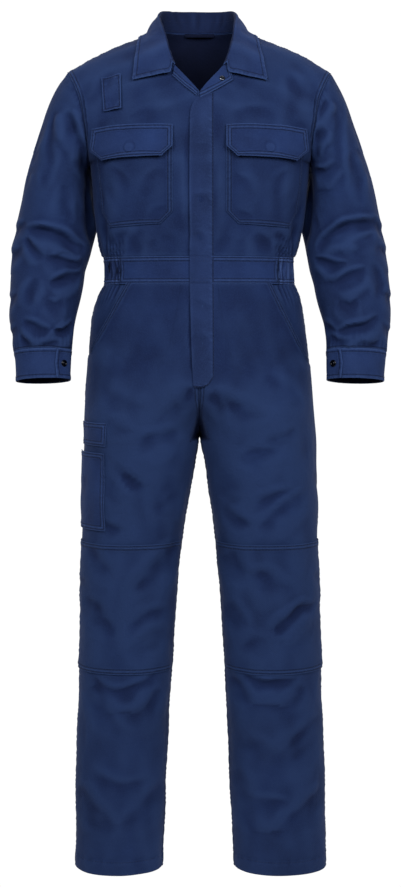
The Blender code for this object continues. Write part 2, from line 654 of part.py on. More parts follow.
# A row is one section of the sleeve, from the armhole (0) to the cuff seam (17): its outermost and
# innermost points, its depths in front and behind, where its middle lies, how much its front rises and
# how far it reaches in behind the body.
SLEEVE = table(
    "station outer_right outer_left outer_height inner_right inner_left inner_height"
    " front back middle tilt behind", [
        (0, 0.2430, 0.2430, SHOULDER_TIP, 0.2030, 0.2030, UNDERARM, 0.074, 0.080, 0.000, 0.00, 0.000),
        (1, 0.2605, 0.2565, -0.086, 0.2055, 0.2055, -0.238, 0.074, 0.079, 0.000, 0.00, 0.000),
        (2, 0.2760, 0.2715, -0.118, 0.2070, 0.2070, -0.247, 0.073, 0.077, 0.000, 0.00, 0.004),
        (3, 0.2895, 0.2855, -0.155, 0.2080, 0.2080, -0.258, 0.071, 0.075, 0.000, 0.00, 0.012),
        (4, 0.3015, 0.2985, -0.193, 0.2088, 0.2088, -0.272, 0.069, 0.073, 0.000, 0.00, 0.020),
        (5, 0.3125, 0.3110, -0.232, 0.2095, 0.2090, -0.290, 0.067, 0.071, 0.001, 0.00, 0.027),
        (6, 0.3220, 0.3210, -0.268, 0.2095, 0.2085, -0.311, 0.066, 0.070, 0.002, 0.00, 0.032),
        (7, 0.3310, 0.3300, -0.305, 0.2090, 0.2070, -0.335, 0.066, 0.069, 0.003, 0.00, 0.034),
        (8, 0.3385, 0.3370, -0.342, 0.2055, 0.2030, -0.360, 0.066, 0.068, 0.003, 0.00, 0.022),
        (9, 0.3445, 0.3425, -0.375, 0.2000, 0.1980, -0.383, 0.066, 0.066, 0.002, 0.01, 0.008),
        (10, 0.3470, 0.3460, -0.405, 0.2035, 0.2000, -0.405, 0.066, 0.064, -0.002, 0.03, 0.000),
        (11, 0.3480, 0.3475, -0.432, 0.2110, 0.2045, -0.428, 0.065, 0.060, -0.006, 0.06, 0.000),
        (12, 0.3490, 0.3490, -0.460, 0.2145, 0.2115, -0.452, 0.063, 0.057, -0.012, 0.09, 0.000),
        (13, 0.3490, 0.3495, -0.488, 0.2190, 0.2160, -0.478, 0.060, 0.054, -0.019, 0.12, 0.000),
        (14, 0.3485, 0.3480, -0.515, 0.2250, 0.2220, -0.505, 0.056, 0.050, -0.026, 0.15, 0.000),
        (15, 0.3450, 0.3450, -0.541, 0.2300, 0.2275, -0.532, 0.051, 0.046, -0.032, 0.17, 0.000),
        (16, 0.3405, 0.3405, -0.563, 0.2330, 0.2300, -0.556, 0.045, 0.042, -0.037, 0.18, 0.000),
        (17, 0.3385, 0.3385, -0.577, 0.2345, 0.2305, -0.574, 0.041, 0.040, -0.040, 0.18, 0.000),
    ])
CUFF = table(
    "station outer_right outer_left outer_height inner_right inner_left inner_height"
    " front back middle tilt behind", [
        (0, 0.3385, 0.3385, -0.5773, 0.2345, 0.2305, -0.5743, 0.041, 0.040, -0.0400, 0.18, 0.0),
        (1, 0.3360, 0.3365, -0.6030, 0.2350, 0.2312, -0.6000, 0.040, 0.039, -0.0445, 0.18, 0.0),
        (2, 0.3345, 0.3350, -0.6290, 0.2358, 0.2322, -0.6260, 0.039, 0.038, -0.0490, 0.18, 0.0),
    ])
ARMHOLE_HOLLOW = 0.0138   # how far the armhole's front and back curve in from the line of its ends
BESIDE_BODY = 0.0022      # the least room between the hanging sleeve and the body beside it
SLEEVE_STATIONS = np.concatenate([np.arange(0, 8), np.arange(8, 17.1, 0.6)])
SLEEVE_TURNS = np.arange(20) * 18.0

# Creases by their two ends and their middle's sideways bow, seen from the front. Depth is inwards.
SLEEVE_CREASES = {
    "right": [
        dict(start=(-0.312, -0.357), end=(-0.210, -0.402), bow=0.018, width=0.013, depth=0.0070),
        dict(start=(-0.314, -0.364), end=(-0.284, -0.404), bow=0.000, width=0.010, depth=0.0035),
        dict(start=(-0.238, -0.150), end=(-0.211, -0.236), bow=0.003, width=0.012, depth=0.0060),
        dict(start=(-0.252, -0.135), end=(-0.268, -0.325), bow=0.010, width=0.014, depth=-0.0040),
        dict(start=(-0.270, -0.450), end=(-0.214, -0.427), bow=0.004, width=0.012, depth=0.0050),
        dict(start=(-0.304, -0.490), end=(-0.238, -0.514), bow=0.010, width=0.012, depth=0.0040),
    ],
    "left": [
        dict(start=(0.210, -0.394), end=(0.330, -0.343), bow=0.012, width=0.013, depth=0.0070),
        dict(start=(0.212, -0.400), end=(0.268, -0.416), bow=0.002, width=0.011, depth=0.0045),
        dict(start=(0.206, -0.248), end=(0.246, -0.231), bow=0.000, width=0.012, depth=0.0050),
        dict(start=(0.243, -0.448), end=(0.302, -0.427), bow=0.003, width=0.012, depth=0.0030),
        dict(start=(0.248, -0.544), end=(0.326, -0.519), bow=0.006, width=0.012, depth=0.0045),
    ],
}


def crease_depth(creases, points):
    """How far the creases sink a surface, by its points' places seen from the front.

    Each is a trough along a bowed line: a bell curve of the distance to it, fading to its ends. Only
    what faces the front is sunk.
    """
    places = points[..., [0, 2]]
    total = np.zeros(points.shape[:-1])
    for crease in creases:
        start, end = np.array(crease["start"]), np.array(crease["end"])
        run = end - start
        part = np.clip(((places - start) @ run) / (run @ run), 0, 1)
        side_step = np.array([-run[1], run[0]]) / np.linalg.norm(run) * crease["bow"]
        foot = start + part[..., None] * run + (4 * part * (1 - part))[..., None] * side_step
        distance = np.linalg.norm(places - foot, axis=-1)
        fade = 0.35 + 0.65 * np.sin(np.pi * part)
        total += crease["depth"] * fade * np.exp(-(distance / crease["width"]) ** 2)
    return total


def tube_rows(sections, side, turns, stations):
    """Rings of a sleeve or cuff: each a tilted ellipse through the section's four outer points.

    A turn of 0 degrees is the outermost point, 90 the front, 180 the innermost, 270 the back.
    """
    turn = np.radians(turns)[None, :]
    column = {name: read(sections, name, stations)[:, None] for name in (
        "outer_" + side, "outer_height", "inner_" + side, "inner_height", "front", "back", "middle", "tilt",
        "behind")}
    outer, inner = column["outer_" + side], column["inner_" + side]
    depth = np.where(np.sin(turn) > 0, column["front"], column["back"]) * np.sin(turn)
    across = (outer + inner) / 2 + (outer - inner) / 2 * np.cos(turn)
    across = across - column["behind"] * np.clip(-np.sin(turn), 0, 1) * np.clip(-np.cos(turn), 0, 1) * 2
    height = (column["outer_height"] + column["inner_height"]) / 2
    height = height + (column["outer_height"] - column["inner_height"]) / 2 * np.cos(turn)
    forward = column["middle"] - depth * np.sqrt(1 - column["tilt"] ** 2)
    return np.stack([SIDE_SIGN[side] * across, forward, height + depth * column["tilt"]], axis=-1)


def sleeve(side):
    """The sleeve, from the armhole, where it laps over the bodice's edge, to the cuff seam."""
    points = tube_rows(SLEEVE, side, SLEEVE_TURNS, SLEEVE_STATIONS)
    stations = SLEEVE_STATIONS[:, None]
    hollow = ARMHOLE_HOLLOW * np.sin(np.radians(SLEEVE_TURNS)) ** 2 * (1 - smooth_step(stations / 5))
    points[..., 0] -= SIDE_SIGN[side] * hollow
    lapped = rest_on_bodice(points, CLOTH + ON_PANEL + SEAM, 0.010)
    beside = rest_on_bodice(points, BESIDE_BODY, 0.040)
    points = np.where((stations < 2.5)[..., None], lapped, beside)
    normals = grid_normals(points, closed=True) * SIDE_SIGN[side]
    facing = smooth_step(-normals[..., 1] * 2)
    fade = smooth_step((stations - 1) / 3) * smooth_step((17 - stations) / 2)
    sunk = crease_depth(SLEEVE_CREASES[side], points) * facing * fade
    points = points - normals * sunk[..., None]
    normals = grid_normals(points, closed=True) * SIDE_SIGN[side]
    wall("sleeve_" + side, points, normals, (NAVY, 0.85), closed=True)


CUFF_LAP_END = 123.7      # where the upper layer of the cuff ends, in front
CUFF_UNDERLAP = 28.0      # degrees of the lower layer hidden under it
CUFF_LIFT = CLOTH + ON_PANEL


def cuff(side):
    """A band once round the wrist and on over its own start, where the snap closes it."""
    first = CUFF_LAP_END + CUFF_UNDERLAP
    last = CUFF_LAP_END - 360
    turns = np.linspace(first, last, 29)
    points = tube_rows(CUFF, side, turns, np.array([0.0, 1.0, 2.0]))[::-1]
    normals = grid_normals(points) * SIDE_SIGN[side]
    lift = CUFF_LIFT * smooth_step((CUFF_LAP_END - 300 - turns) / 30)
    points = points + normals * lift[None, :, None]
    wall("cuff_" + side, points, normals, (NAVY, 0.85))


for half in SIDE_SIGN:
    sleeve(half)
    cuff(half)


# ---------------------------------------------------------------- collar

# Half the collar by station, from the middle of the back (0) to its front end (1): the fold line, the
# leaf's outer edge and the neck seam.
COLLAR = table("station fold_x fold_y fold_z edge_x edge_y edge_z seam_x seam_y seam_z", [
    (0.00, 0.0000, 0.080, 0.0680, 0.0000, 0.104, 0.0120, 0.0000, 0.0680, 0.0240),
    (0.20, 0.0400, 0.070, 0.0665, 0.0550, 0.094, 0.0100, 0.0420, 0.0590, 0.0235),
    (0.40, 0.0665, 0.040, 0.0610, 0.0950, 0.055, 0.0040, 0.0710, 0.0280, 0.0225),
    (0.55, 0.0715, 0.008, 0.0470, 0.1085, 0.010, -0.0030, 0.0775, 0.0000, 0.0205),
    (0.70, 0.0665, -0.036, 0.0200, 0.1145, -0.034, -0.0220, 0.0740, -0.0300, 0.0090),
    (0.85, 0.0575, -0.079, -0.0220, 0.1190, -0.068, -0.0550, 0.0650, -0.0700, -0.0225),
    (1.00, 0.0440, -0.117, -0.0725, 0.1185, -0.095, -0.0885, 0.0520, -0.1010, -0.0600),
])
COLLAR_STATIONS = np.array([
    0, 0.1, 0.2, 0.3, 0.38, 0.44, 0.49, 0.535, 0.58, 0.63, 0.70, 0.78, 0.86, 0.93, 1])
FOLD_RADIUS = 0.0032
# How far each row of the collar lies over the bodice, from the neck seam to the leaf's edge.
COLLAR_CLEARANCE = np.array([0.0026, 0.0028, 0.0034, 0.0062, 0.0074, 0.0070, 0.0060, 0.0052, 0.0048])
OVER_LAPEL = 0.0026       # how much further the front ends lie, over the lapels
COLLAR_LEAN = 0.0036      # the standing back of the collar leans this far to the wearer's right
OVER_SHOULDER = 0.0032    # and how much further it stands off where it bends over the shoulder


def collar_section(stations):
    """Rows across the collar, from its neck seam up the stand, round the fold and down to the edge."""
    def point(part):
        return np.stack([read(COLLAR, part + "_" + letter, stations) for letter in "xyz"], axis=-1)

    seam, fold, edge = point("seam"), point("fold"), point("edge")
    away = (edge - fold) * np.array([1, 1, 0])
    away = away / np.linalg.norm(away, axis=-1, keepdims=True)
    down = np.array([0, 0, -1.0])
    inner_turn = fold + (down - away) * FOLD_RADIUS
    outer_turn = fold + away * FOLD_RADIUS + down * FOLD_RADIUS / 2
    rows = [seam + (inner_turn - seam) * part for part in (0, 0.5, 1)]
    rows.append(fold)
    rows += [outer_turn + (edge - outer_turn) * part for part in (0, 0.28, 0.55, 0.8, 1)]
    return np.stack(rows)


def collar():
    """The folded collar in one piece, round the back of the neck from leaf to leaf."""
    half_points = collar_section(COLLAR_STATIONS)
    clearance = COLLAR_CLEARANCE[:, None] + OVER_LAPEL * smooth_step((COLLAR_STATIONS - 0.75) / 0.12)
    clearance = clearance + OVER_SHOULDER * np.exp(-((COLLAR_STATIONS - 0.56) / 0.1) ** 2)
    half_points = rest_on_bodice(half_points, clearance, 0.030)
    other = half_points[:, :0:-1] * np.array([-1, 1, 1])
    points = np.concatenate([other, half_points], axis=1)
    points[..., 0] -= COLLAR_LEAN * smooth_step((points[..., 2] + 0.010) / 0.05)
    wall("collar", points, grid_normals(points), (NAVY, 0.85), DOUBLE_CLOTH)


collar()


# ---------------------------------------------------------------- hanger loop

LOOP_HALF_LENGTH = 0.027
LOOP_SAG = 0.004


def hanger_loop():
    """A short tape inside the back of the neck, sewn down at its two ends and bowed between them."""
    across = np.linspace(-LOOP_HALF_LENGTH, LOOP_HALF_LENGTH, 9)[None, :]
    heights = np.array([0.0165, 0.0218])[:, None]
    neck = BACK_EDGE["forward"][-1] * np.sqrt(1 - (across / NECK_POINT[0]) ** 2)
    bow = LOOP_SAG * (1 - (across / LOOP_HALF_LENGTH) ** 2)
    forward = neck - CLOTH - ON_PANEL - bow
    points = np.stack(np.broadcast_arrays(across, forward, heights), axis=-1)
    wall("hanger_loop", points, -grid_normals(points), (DARK_NAVY, 0.8), thickness=0.0010)


hanger_loop()


# ---------------------------------------------------------------- thigh pockets

# Each lies round the right thigh: from its front edge to its side edge in degrees, its two heights, and
# how far it stands open at the side.
THIGH_POCKETS = {
    "tool_pocket_upper": dict(near=37.0, far=84.0, low=-0.743, high=-0.702, rows=2, full=0.0),
    "ruler_pocket": dict(near=36.0, far=94.0, low=-0.894, high=-0.752, rows=5, full=0.003),
}
THIGH_LIFT = 0.0014       # the leg's wide facets need this much room under a flat patch


def thigh_pocket(name, near, far, low, high, rows, full):
    """A patch pocket on the right thigh, made from the leg's own section and moved out."""
    heights = np.linspace(low, high, rows + 1)[:, None]
    angles = near + (far - near) * np.linspace(0, 1, 6)[None, :]
    points = body_point("right", angles + 0 * heights, heights + 0 * angles)
    normals = outward(points, "right", "front")
    fullness = full * smooth_step((angles - near) / (far - near)) * smooth_step((heights - low) / 0.06)
    lift = THIGH_LIFT + CLOTH + fullness
    wall(name, points + normals * lift[..., None], normals, (NAVY, 0.85))


for pocket_name, pocket in THIGH_POCKETS.items():
    thigh_pocket(pocket_name, **pocket)


# ---------------------------------------------------------------- snaps

SNAP_GAP = 0.0003
SOCKET_PROFILE = [(0.0022, 0.0004), (0.0024, 0.0011), (0.0040, 0.0013), (0.0048, 0.0008), (0.0048, 0.0)]
CAP_PROFILE = [(0.0018, 0.0016), (0.0038, 0.0014), (0.0052, 0.0009), (0.0057, 0.0)]
SNAP_SIDES = 24


def turned(name, profile, crown, centre, normal, finish):
    """A round piece: its profile (radius, height) turned about the normal, closed by two end faces."""
    normal = normal / np.linalg.norm(normal)
    first = np.cross(normal, [0, 0, 1.0])
    first /= np.linalg.norm(first)
    second = np.cross(normal, first)
    turns = np.arange(SNAP_SIDES) * 2 * np.pi / SNAP_SIDES
    ring = np.cos(turns)[:, None] * first + np.sin(turns)[:, None] * second
    rings = [centre + ring * radius + normal * (height + SNAP_GAP) for radius, height in profile]
    points = np.concatenate(rings + [[centre + normal * (crown + SNAP_GAP)]])
    faces = []
    for level in range(len(profile) - 1):
        for side in range(SNAP_SIDES):
            after = (side + 1) % SNAP_SIDES
            base, above = level * SNAP_SIDES, (level + 1) * SNAP_SIDES
            faces.append((base + side, base + after, above + after, above + side))
    tip = len(points) - 1
    faces += [(side, (side + 1) % SNAP_SIDES, tip) for side in range(SNAP_SIDES)]
    faces.append(tuple((len(profile) - 1) * SNAP_SIDES + side for side in range(SNAP_SIDES)))
    mesh = bpy.data.meshes.new(name)
    mesh.from_pydata(points.tolist(), [], faces)
    place(name, mesh, finish)


LAPEL_SNAP_PLACE = (0.0395, -0.0905)
CUFF_SNAP_TURN = -219.0


def snaps():
    """The open socket on the turned-out lapel, and the cap on each cuff's lap."""
    across, height = (np.array([value]) for value in LAPEL_SNAP_PLACE)
    point, normal = lay_on_front("left", across, height)
    on_lapel = point[0] + normal[0] * (LAPEL_LIFT + CLOTH)
    turned("lapel_snap", SOCKET_PROFILE, 0.0004, on_lapel, normal[0], (STEEL, 0.35, 1.0))
    for side in SIDE_SIGN:
        near = CUFF_SNAP_TURN + np.array([-2.0, 0.0, 2.0])[::-1]
        grid = tube_rows(CUFF, side, near, np.array([0.8, 1.0, 1.2]))[::-1]
        facing = grid_normals(grid)[1, 1] * SIDE_SIGN[side]
        turned("cuff_snap_" + side, CAP_PROFILE, 0.0017, grid[1, 1] + facing * CUFF_LIFT, facing,
               (BLACK_METAL, 0.4, 1.0))


snaps()
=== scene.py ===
"""A navy twill boiler suit, worn open at the neck and filled out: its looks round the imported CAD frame.

Metres, +Z up, front at -Y, the wearer's left at +X. Each panel repeats the CAD's own section tables as a
fine grid of points, gets its folds and seams as soft reliefs along its normals, and then its thickness.
"""

import bpy
import mathutils
import numpy as np
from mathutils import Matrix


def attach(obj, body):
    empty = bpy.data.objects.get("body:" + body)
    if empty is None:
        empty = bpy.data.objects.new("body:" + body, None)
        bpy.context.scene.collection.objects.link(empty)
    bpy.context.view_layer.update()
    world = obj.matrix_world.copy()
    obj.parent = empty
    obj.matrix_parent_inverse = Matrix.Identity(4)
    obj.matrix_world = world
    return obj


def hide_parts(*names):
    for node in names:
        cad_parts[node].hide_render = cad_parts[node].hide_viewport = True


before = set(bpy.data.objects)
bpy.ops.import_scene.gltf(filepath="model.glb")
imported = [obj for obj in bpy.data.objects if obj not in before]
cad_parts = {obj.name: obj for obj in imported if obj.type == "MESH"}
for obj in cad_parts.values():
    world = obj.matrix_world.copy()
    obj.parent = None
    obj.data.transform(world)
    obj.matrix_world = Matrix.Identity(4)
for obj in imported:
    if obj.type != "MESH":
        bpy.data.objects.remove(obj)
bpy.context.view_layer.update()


# ---------------------------------------------------------------- legs
# Four leg panels of 300 g twill, each from the waistband to the hem. Front and back are joined by a plain
# seam at the side and a flat-felled one at the inseam; the hem is turned up twice and stitched once.

SIDE_SIGN = {"left": 1, "right": -1}
SEAM = 0.0003             # the gap that sewn pieces keep
HEM_HEIGHT = -1.523
FORK = -0.736             # where the two inseams meet
BAND_LOW = -0.4523        # the seam between the legs and the waistband
CLOTH = 0.0011            # the twill's thickness, a little over the real 0.7 mm
TUCK = 0.0040             # how far a panel goes in under the piece that is sewn over its edge
TOPSTITCH = (0.0026, 0.0085)      # how far a turned edge's two stitch rows are from it
SLACK_SEED = 11


def table(columns, rows):
    """Give a short table's columns by name; the first one, sorted upwards, is what it is read by."""
    names = columns.split()
    values = np.array(rows, dtype=float)
    values = values[np.argsort(values[:, 0])]
    return {"key": values[:, 0], **dict(zip(names, values.T))}


def read(sections, column, at):
    """Read a column between its rows: a cubic from row to row, its slope at a row set by the neighbours."""
    key, values = sections["key"], sections[column]
    slopes = np.gradient(values, key)
    at = np.clip(at, key[0], key[-1])
    low = np.clip(np.searchsorted(key, at) - 1, 0, len(key) - 2)
    span = key[low + 1] - key[low]
    part = (at - key[low]) / span
    rise = part * part * (3 - 2 * part)
    ease_out = part * (1 - part) ** 2 * span * slopes[low]
    ease_in = part ** 2 * (part - 1) * span * slopes[low + 1]
    return values[low] * (1 - rise) + values[low + 1] * rise + ease_out + ease_in


def signed_power(value, power):
    """Raise the size of a value to a power and keep its sign."""
    return np.sign(value) * np.abs(value) ** power


def smooth_step(value):
    """Rise from 0 to 1 with flat ends."""
    value = np.clip(value, 0, 1)
    return value * value * (3 - 2 * value)


# A row is one level section. outer and inner are the side seam and the inseam (0 above the fork),
# front and back are the depths from the side seams. square is the superellipse's exponent, 2 an ellipse.
BODY = table(
    "height   outer_right inner_right outer_left inner_left front  back   square", [
        (-1.523, 0.2290, 0.0690, 0.2335, 0.0620, 0.062, 0.062, 2.00),
        (-1.450, 0.2300, 0.0660, 0.2340, 0.0590, 0.064, 0.066, 2.00),
        (-1.300, 0.2275, 0.0600, 0.2305, 0.0530, 0.069, 0.074, 2.05),
        (-1.150, 0.2230, 0.0515, 0.2235, 0.0450, 0.076, 0.078, 2.10),
        (-1.030, 0.2195, 0.0430, 0.2205, 0.0395, 0.081, 0.080, 2.15),
        (-0.925, 0.2180, 0.0325, 0.2185, 0.0290, 0.088, 0.086, 2.20),
        (-0.850, 0.2165, 0.0200, 0.2178, 0.0190, 0.097, 0.096, 2.25),
        (-0.780, 0.2145, 0.0085, 0.2150, 0.0095, 0.106, 0.110, 2.30),
        (-0.736, 0.2125, 0.0005, 0.2130, 0.0005, 0.112, 0.120, 2.30),
        (-0.700, 0.2118, 0.0000, 0.2105, 0.0000, 0.117, 0.128, 2.30),
        (-0.660, 0.2105, 0.0000, 0.2085, 0.0000, 0.120, 0.133, 2.30),
        (-0.610, 0.2075, 0.0000, 0.2045, 0.0000, 0.121, 0.134, 2.30),
        (-0.550, 0.2025, 0.0000, 0.1990, 0.0000, 0.119, 0.130, 2.30),
        (-0.500, 0.1948, 0.0000, 0.1910, 0.0000, 0.115, 0.122, 2.30),
        (-0.475, 0.1865, 0.0000, 0.1840, 0.0000, 0.113, 0.117, 2.30),
        (-0.4523, 0.1770, 0.0000, 0.1740, 0.0000, 0.112, 0.113, 2.30),
        (-0.4366, 0.1752, 0.0000, 0.1720, 0.0000, 0.112, 0.112, 2.30),
        (-0.4042, 0.1778, 0.0000, 0.1735, 0.0000, 0.113, 0.112, 2.30),
        (-0.385, 0.1845, 0.0000, 0.1810, 0.0000, 0.116, 0.115, 2.30),
        (-0.360, 0.1900, 0.0000, 0.1875, 0.0000, 0.120, 0.118, 2.30),
        (-0.320, 0.1955, 0.0000, 0.1945, 0.0000, 0.126, 0.121, 2.30),
        (-0.270, 0.2000, 0.0000, 0.2000, 0.0000, 0.131, 0.123, 2.30),
        (-0.231, 0.2030, 0.0000, 0.2030, 0.0000, 0.133, 0.123, 2.30),
    ])

# Where a section starts: 0 degrees is the middle of the front, -90 the inseam, 90 the side seam.
RISE = table("height start", [
    (FORK, -90),
    (-0.715, -80),
    (-0.690, -61),
    (-0.660, -36.5),
    (-0.635, -17),
    (-0.612, -5.6),
    (-0.592, -1.4),
    (-0.577, -0.3),
    (-0.562, 0),
    (-0.545, 0),
])


def body_point(side, angle, height):
    """A point of a leg or of half the trunk at a height, by its angle in degrees: a superellipse.

    x is the section's centre plus its reach times the sine, y its depth times the cosine, both to the
    power 2 / square. The reach is set so that the start angle falls on the inseam or the middle seam.
    """
    power = 2 / read(BODY, "square", height)
    outer = read(BODY, "outer_" + side, height)
    inner = np.maximum(read(BODY, "inner_" + side, height), SEAM / 2)
    start = np.radians(read(RISE, "start", height))
    turn = np.radians(angle)
    reach = (outer - inner) / (1 - signed_power(np.sin(start), power))
    depth = np.where(np.cos(turn) > 0, read(BODY, "front", height), read(BODY, "back", height))
    x = outer - reach + reach * signed_power(np.sin(turn), power)
    y = -depth * signed_power(np.cos(turn), power)
    return np.stack([SIDE_SIGN[side] * x, y, height + 0 * x], axis=-1)


def body_grid(side, face, spread, heights, last=90.0):
    """A panel of a leg or of the trunk: a row of points for each height, spread from seam to seam."""
    start = read(RISE, "start", heights)
    angles = start[:, None] + (last - start)[:, None] * spread[None, :]
    if face == "back":
        angles = 180 - angles
    points = body_point(side, angles, heights[:, None])
    points[..., 1] += SEAM / 2 if face == "back" else -SEAM / 2
    return points


def grid_normals(points, closed=False):
    """Unit normals of a grid of points: its slope along the columns crossed with its slope up the rows."""
    if closed:
        across = np.roll(points, -1, axis=1) - np.roll(points, 1, axis=1)
    else:
        across = np.gradient(points, axis=1)
    up = np.gradient(points, axis=0)
    normals = np.cross(across, up)
    return normals / np.maximum(np.linalg.norm(normals, axis=2, keepdims=True), 1e-12)


def outward(points, side, face, closed=False):
    """The outward normals of a grid that runs from the middle of the body to its side, bottom up."""
    facing = SIDE_SIGN[side] * (1 if face == "front" else -1)
    return grid_normals(points, closed) * facing


def stations(start, stop, step, fine=None, near=(), reach=0.012):
    """Places from start to stop, a step apart, and only fine apart near the given places.

    Their density is 1 / step, raised to 1 / fine by a bell curve round each such place, then summed.
    """
    trial = np.linspace(start, stop, 4000)
    density = np.full(trial.shape, 1 / step)
    for place in near:
        raised = 1 / step + (1 / fine - 1 / step) * np.exp(-((trial - place) / reach) ** 2)
        density = np.maximum(density, raised)
    total = np.concatenate([[0], np.cumsum((density[1:] + density[:-1]) / 2 * np.diff(trial))])
    return np.interp(np.linspace(0, total[-1], int(np.ceil(total[-1])) + 1), total, trial)


def edge_distance(points, across):
    """How far each point of a grid is from its first and last column, or row, along the cloth."""
    axis = 1 if across else 0
    steps = np.linalg.norm(np.diff(points, axis=axis), axis=2)
    run = np.cumsum(steps, axis=axis)
    zero = np.zeros_like(run[:, :1] if across else run[:1])
    run = np.concatenate([zero, run], axis=axis)
    return run, (run[:, -1:] if across else run[-1:]) - run


# How a fold is laid down: the two axes it is drawn in, and the way the cloth there faces.
VIEWS = {
    "front": ([0, 2], (0, -1, 0)),
    "back": ([0, 2], (0, 1, 0)),
    "left": ([1, 2], (1, 0, 0)),
    "right": ([1, 2], (-1, 0, 0)),
}


def smooth_path(places, step):
    """A smooth curve through a few places: a cubic in the run along them, read a step apart."""
    run = np.concatenate([[0], np.cumsum(np.linalg.norm(np.diff(places, axis=0), axis=1))])
    at = np.linspace(0, run[-1], max(int(run[-1] / step), 2) + 1)
    return np.stack([read({"key": run, "place": column}, "place", at) for column in places.T], axis=-1)


def fold_lines(folds, points, normals):
    """Lay drawn folds on a surface: each place takes its depth from the nearest point that faces the view."""
    points, normals = points.reshape(-1, 3), normals.reshape(-1, 3)
    lines = []
    for view, drawn in folds.items():
        axes, facing = VIEWS[view]
        depthwise = 3 - sum(axes)
        seen = points[normals @ np.array(facing, float) > 0.05]
        for width, depth, lip, swell, *places in drawn:
            path = smooth_path(np.array(places, float).reshape(-1, 2) / 1000, 0.003)
            line = seen[np.argmin(((path[:, None] - seen[None, :, axes]) ** 2).sum(axis=2), axis=1)]
            line[:, axes] = path
            padded = np.pad(line[:, depthwise], 4, mode="edge")
            line[:, depthwise] = np.convolve(padded, np.ones(9) / 9, mode="valid")
            lines.append((line, width / 1000, depth / 1000, lip, swell))
    return lines


def relief(lines, points, normals):
    """How far folds raise or sink a surface, in metres along its normals.

    Each is a trough along its line: minus a bell curve of the way across, with two softer bells of lip
    height beside it. It is deepest at its swell, a share of its length, and fades to both ends. Its upper
    flank is a third as wide as its lower one, and its course and depth waver. Folds flatten to 0.4 where
    the cloth faces sideways.
    """
    flat, facing = points.reshape(-1, 3), normals.reshape(-1, 3)
    uneven = 1 + 0.3 * drift(flat, 0.045, 6)
    flat = flat + 0.0032 * np.stack([drift(flat, 0.075, seed) for seed in (3, 4, 5)], axis=-1)
    total = np.zeros(len(flat))
    for line, width, depth, lip, swell in lines:
        reach = 3.4 * width
        inside = (flat > line.min(axis=0) - reach) & (flat < line.max(axis=0) + reach)
        near = np.nonzero(inside.all(axis=1))[0]
        if len(near) == 0:
            continue
        foot = np.argmin(((flat[near][:, None] - line[None]) ** 2).sum(axis=2), axis=1)
        tangent = np.gradient(line, axis=0)
        tangent /= np.linalg.norm(tangent, axis=1, keepdims=True)
        run = np.concatenate([[0], np.cumsum(np.linalg.norm(np.diff(line, axis=0), axis=1))])
        off = flat[near] - line[foot]
        along = (off * tangent[foot]).sum(axis=1)
        sideways = np.cross(tangent[foot], facing[near])
        across = (off * sideways).sum(axis=1)
        away = np.sqrt(np.maximum((off ** 2).sum(axis=1) - along ** 2 - across ** 2, 0))
        place = run[foot] + along
        part = np.clip(place / run[-1], 0, 1)
        past = np.maximum(np.maximum(-place, place - run[-1]), 0)
        swollen = np.sin(np.pi * part ** (np.log(0.5) / np.log(swell)))
        fade = np.clip(swollen, 0, 1) ** 0.75 * np.exp(-(past / width) ** 2 - (away / (1.4 * width)) ** 2)
        above = sideways[:, 2] * np.tanh(across / (0.4 * width))
        slim = across / (width * (0.55 + 0.45 * fade) * (1 - 0.48 * above))
        lips = np.exp(-((np.abs(slim) - 1.9) / 0.9) ** 2) * lip
        total[near] += depth * fade * (lips - np.exp(-slim ** 2))
    uneven *= 0.4 + 0.6 * smooth_step((0.985 - np.abs(facing[:, 0])) / 0.11)
    return (total * uneven).reshape(points.shape[:-1])


def drift(points, size, seed):
    """Soft unevenness, about -1 to 1: 16 sine waves of about that size in random directions, summed."""
    source = np.random.default_rng(seed)
    ways = source.normal(size=(16, 3))
    ways *= (source.uniform(0.6, 1.7, 16) * 2 * np.pi / size / np.linalg.norm(ways, axis=1))[:, None]
    return np.sin(points @ ways.T + source.uniform(0, 2 * np.pi, 16)).sum(axis=-1) / 5


def slack(points):
    """The cloth's unevenness, about 2 mm: a broad drift and a finer one that is drawn out upwards.

    It is one field for the whole suit, so pieces that meet move together.
    """
    fine = drift(points * np.array([1, 1, 0.6]), 0.05, SLACK_SEED + 1)
    return 0.0017 * drift(points, 0.15, SLACK_SEED) + 0.0005 * fine


def ripple(run, size, seed):
    """An uneven wave along a line, -1 to 1: a sine of that length whose phase wanders with a longer one."""
    return np.sin(run * 2 * np.pi / size + 2.6 * np.sin(run * 2 * np.pi / (3.7 * size) + seed) + seed)


def edge_run(points, letter):
    """How far each grid point is from one edge, and how far along it. l and r are columns, b and t rows."""
    from_left, from_right = edge_distance(points, True)
    from_low, from_high = edge_distance(points, False)
    return {"l": (from_left, from_low), "r": (from_right, from_low),
            "b": (from_low, from_left), "t": (from_high, from_left)}[letter]


def bell(value, middle, width):
    """A bell curve round a middle, 1 at its top."""
    return np.exp(-((value - middle) / width) ** 2)


def plain_seam(distance, run):
    """A sewn seam: a 0.9 mm dip at the seam line, and 0.5 mm of pucker in a bell beside it."""
    pucker = 0.0005 * ripple(run, 0.012, 1.0) * bell(distance, 0.005, 0.006)
    return pucker - 0.0009 * bell(distance, 0, 0.0016)


def turned_edge(distance, run, gaps=TOPSTITCH):
    """A topstitched edge: 0.7 mm thicker as far as its last row, a groove at each row, and pucker."""
    lift = 0.0007 * (1 - smooth_step((distance - gaps[-1] - 0.0010) / 0.0025))
    for gap in gaps:
        lift = lift - 0.0006 * bell(distance, gap, 0.0010)
    return lift + 0.0005 * ripple(run, 0.010, 2.0) * bell(distance, 0.0055, 0.004)


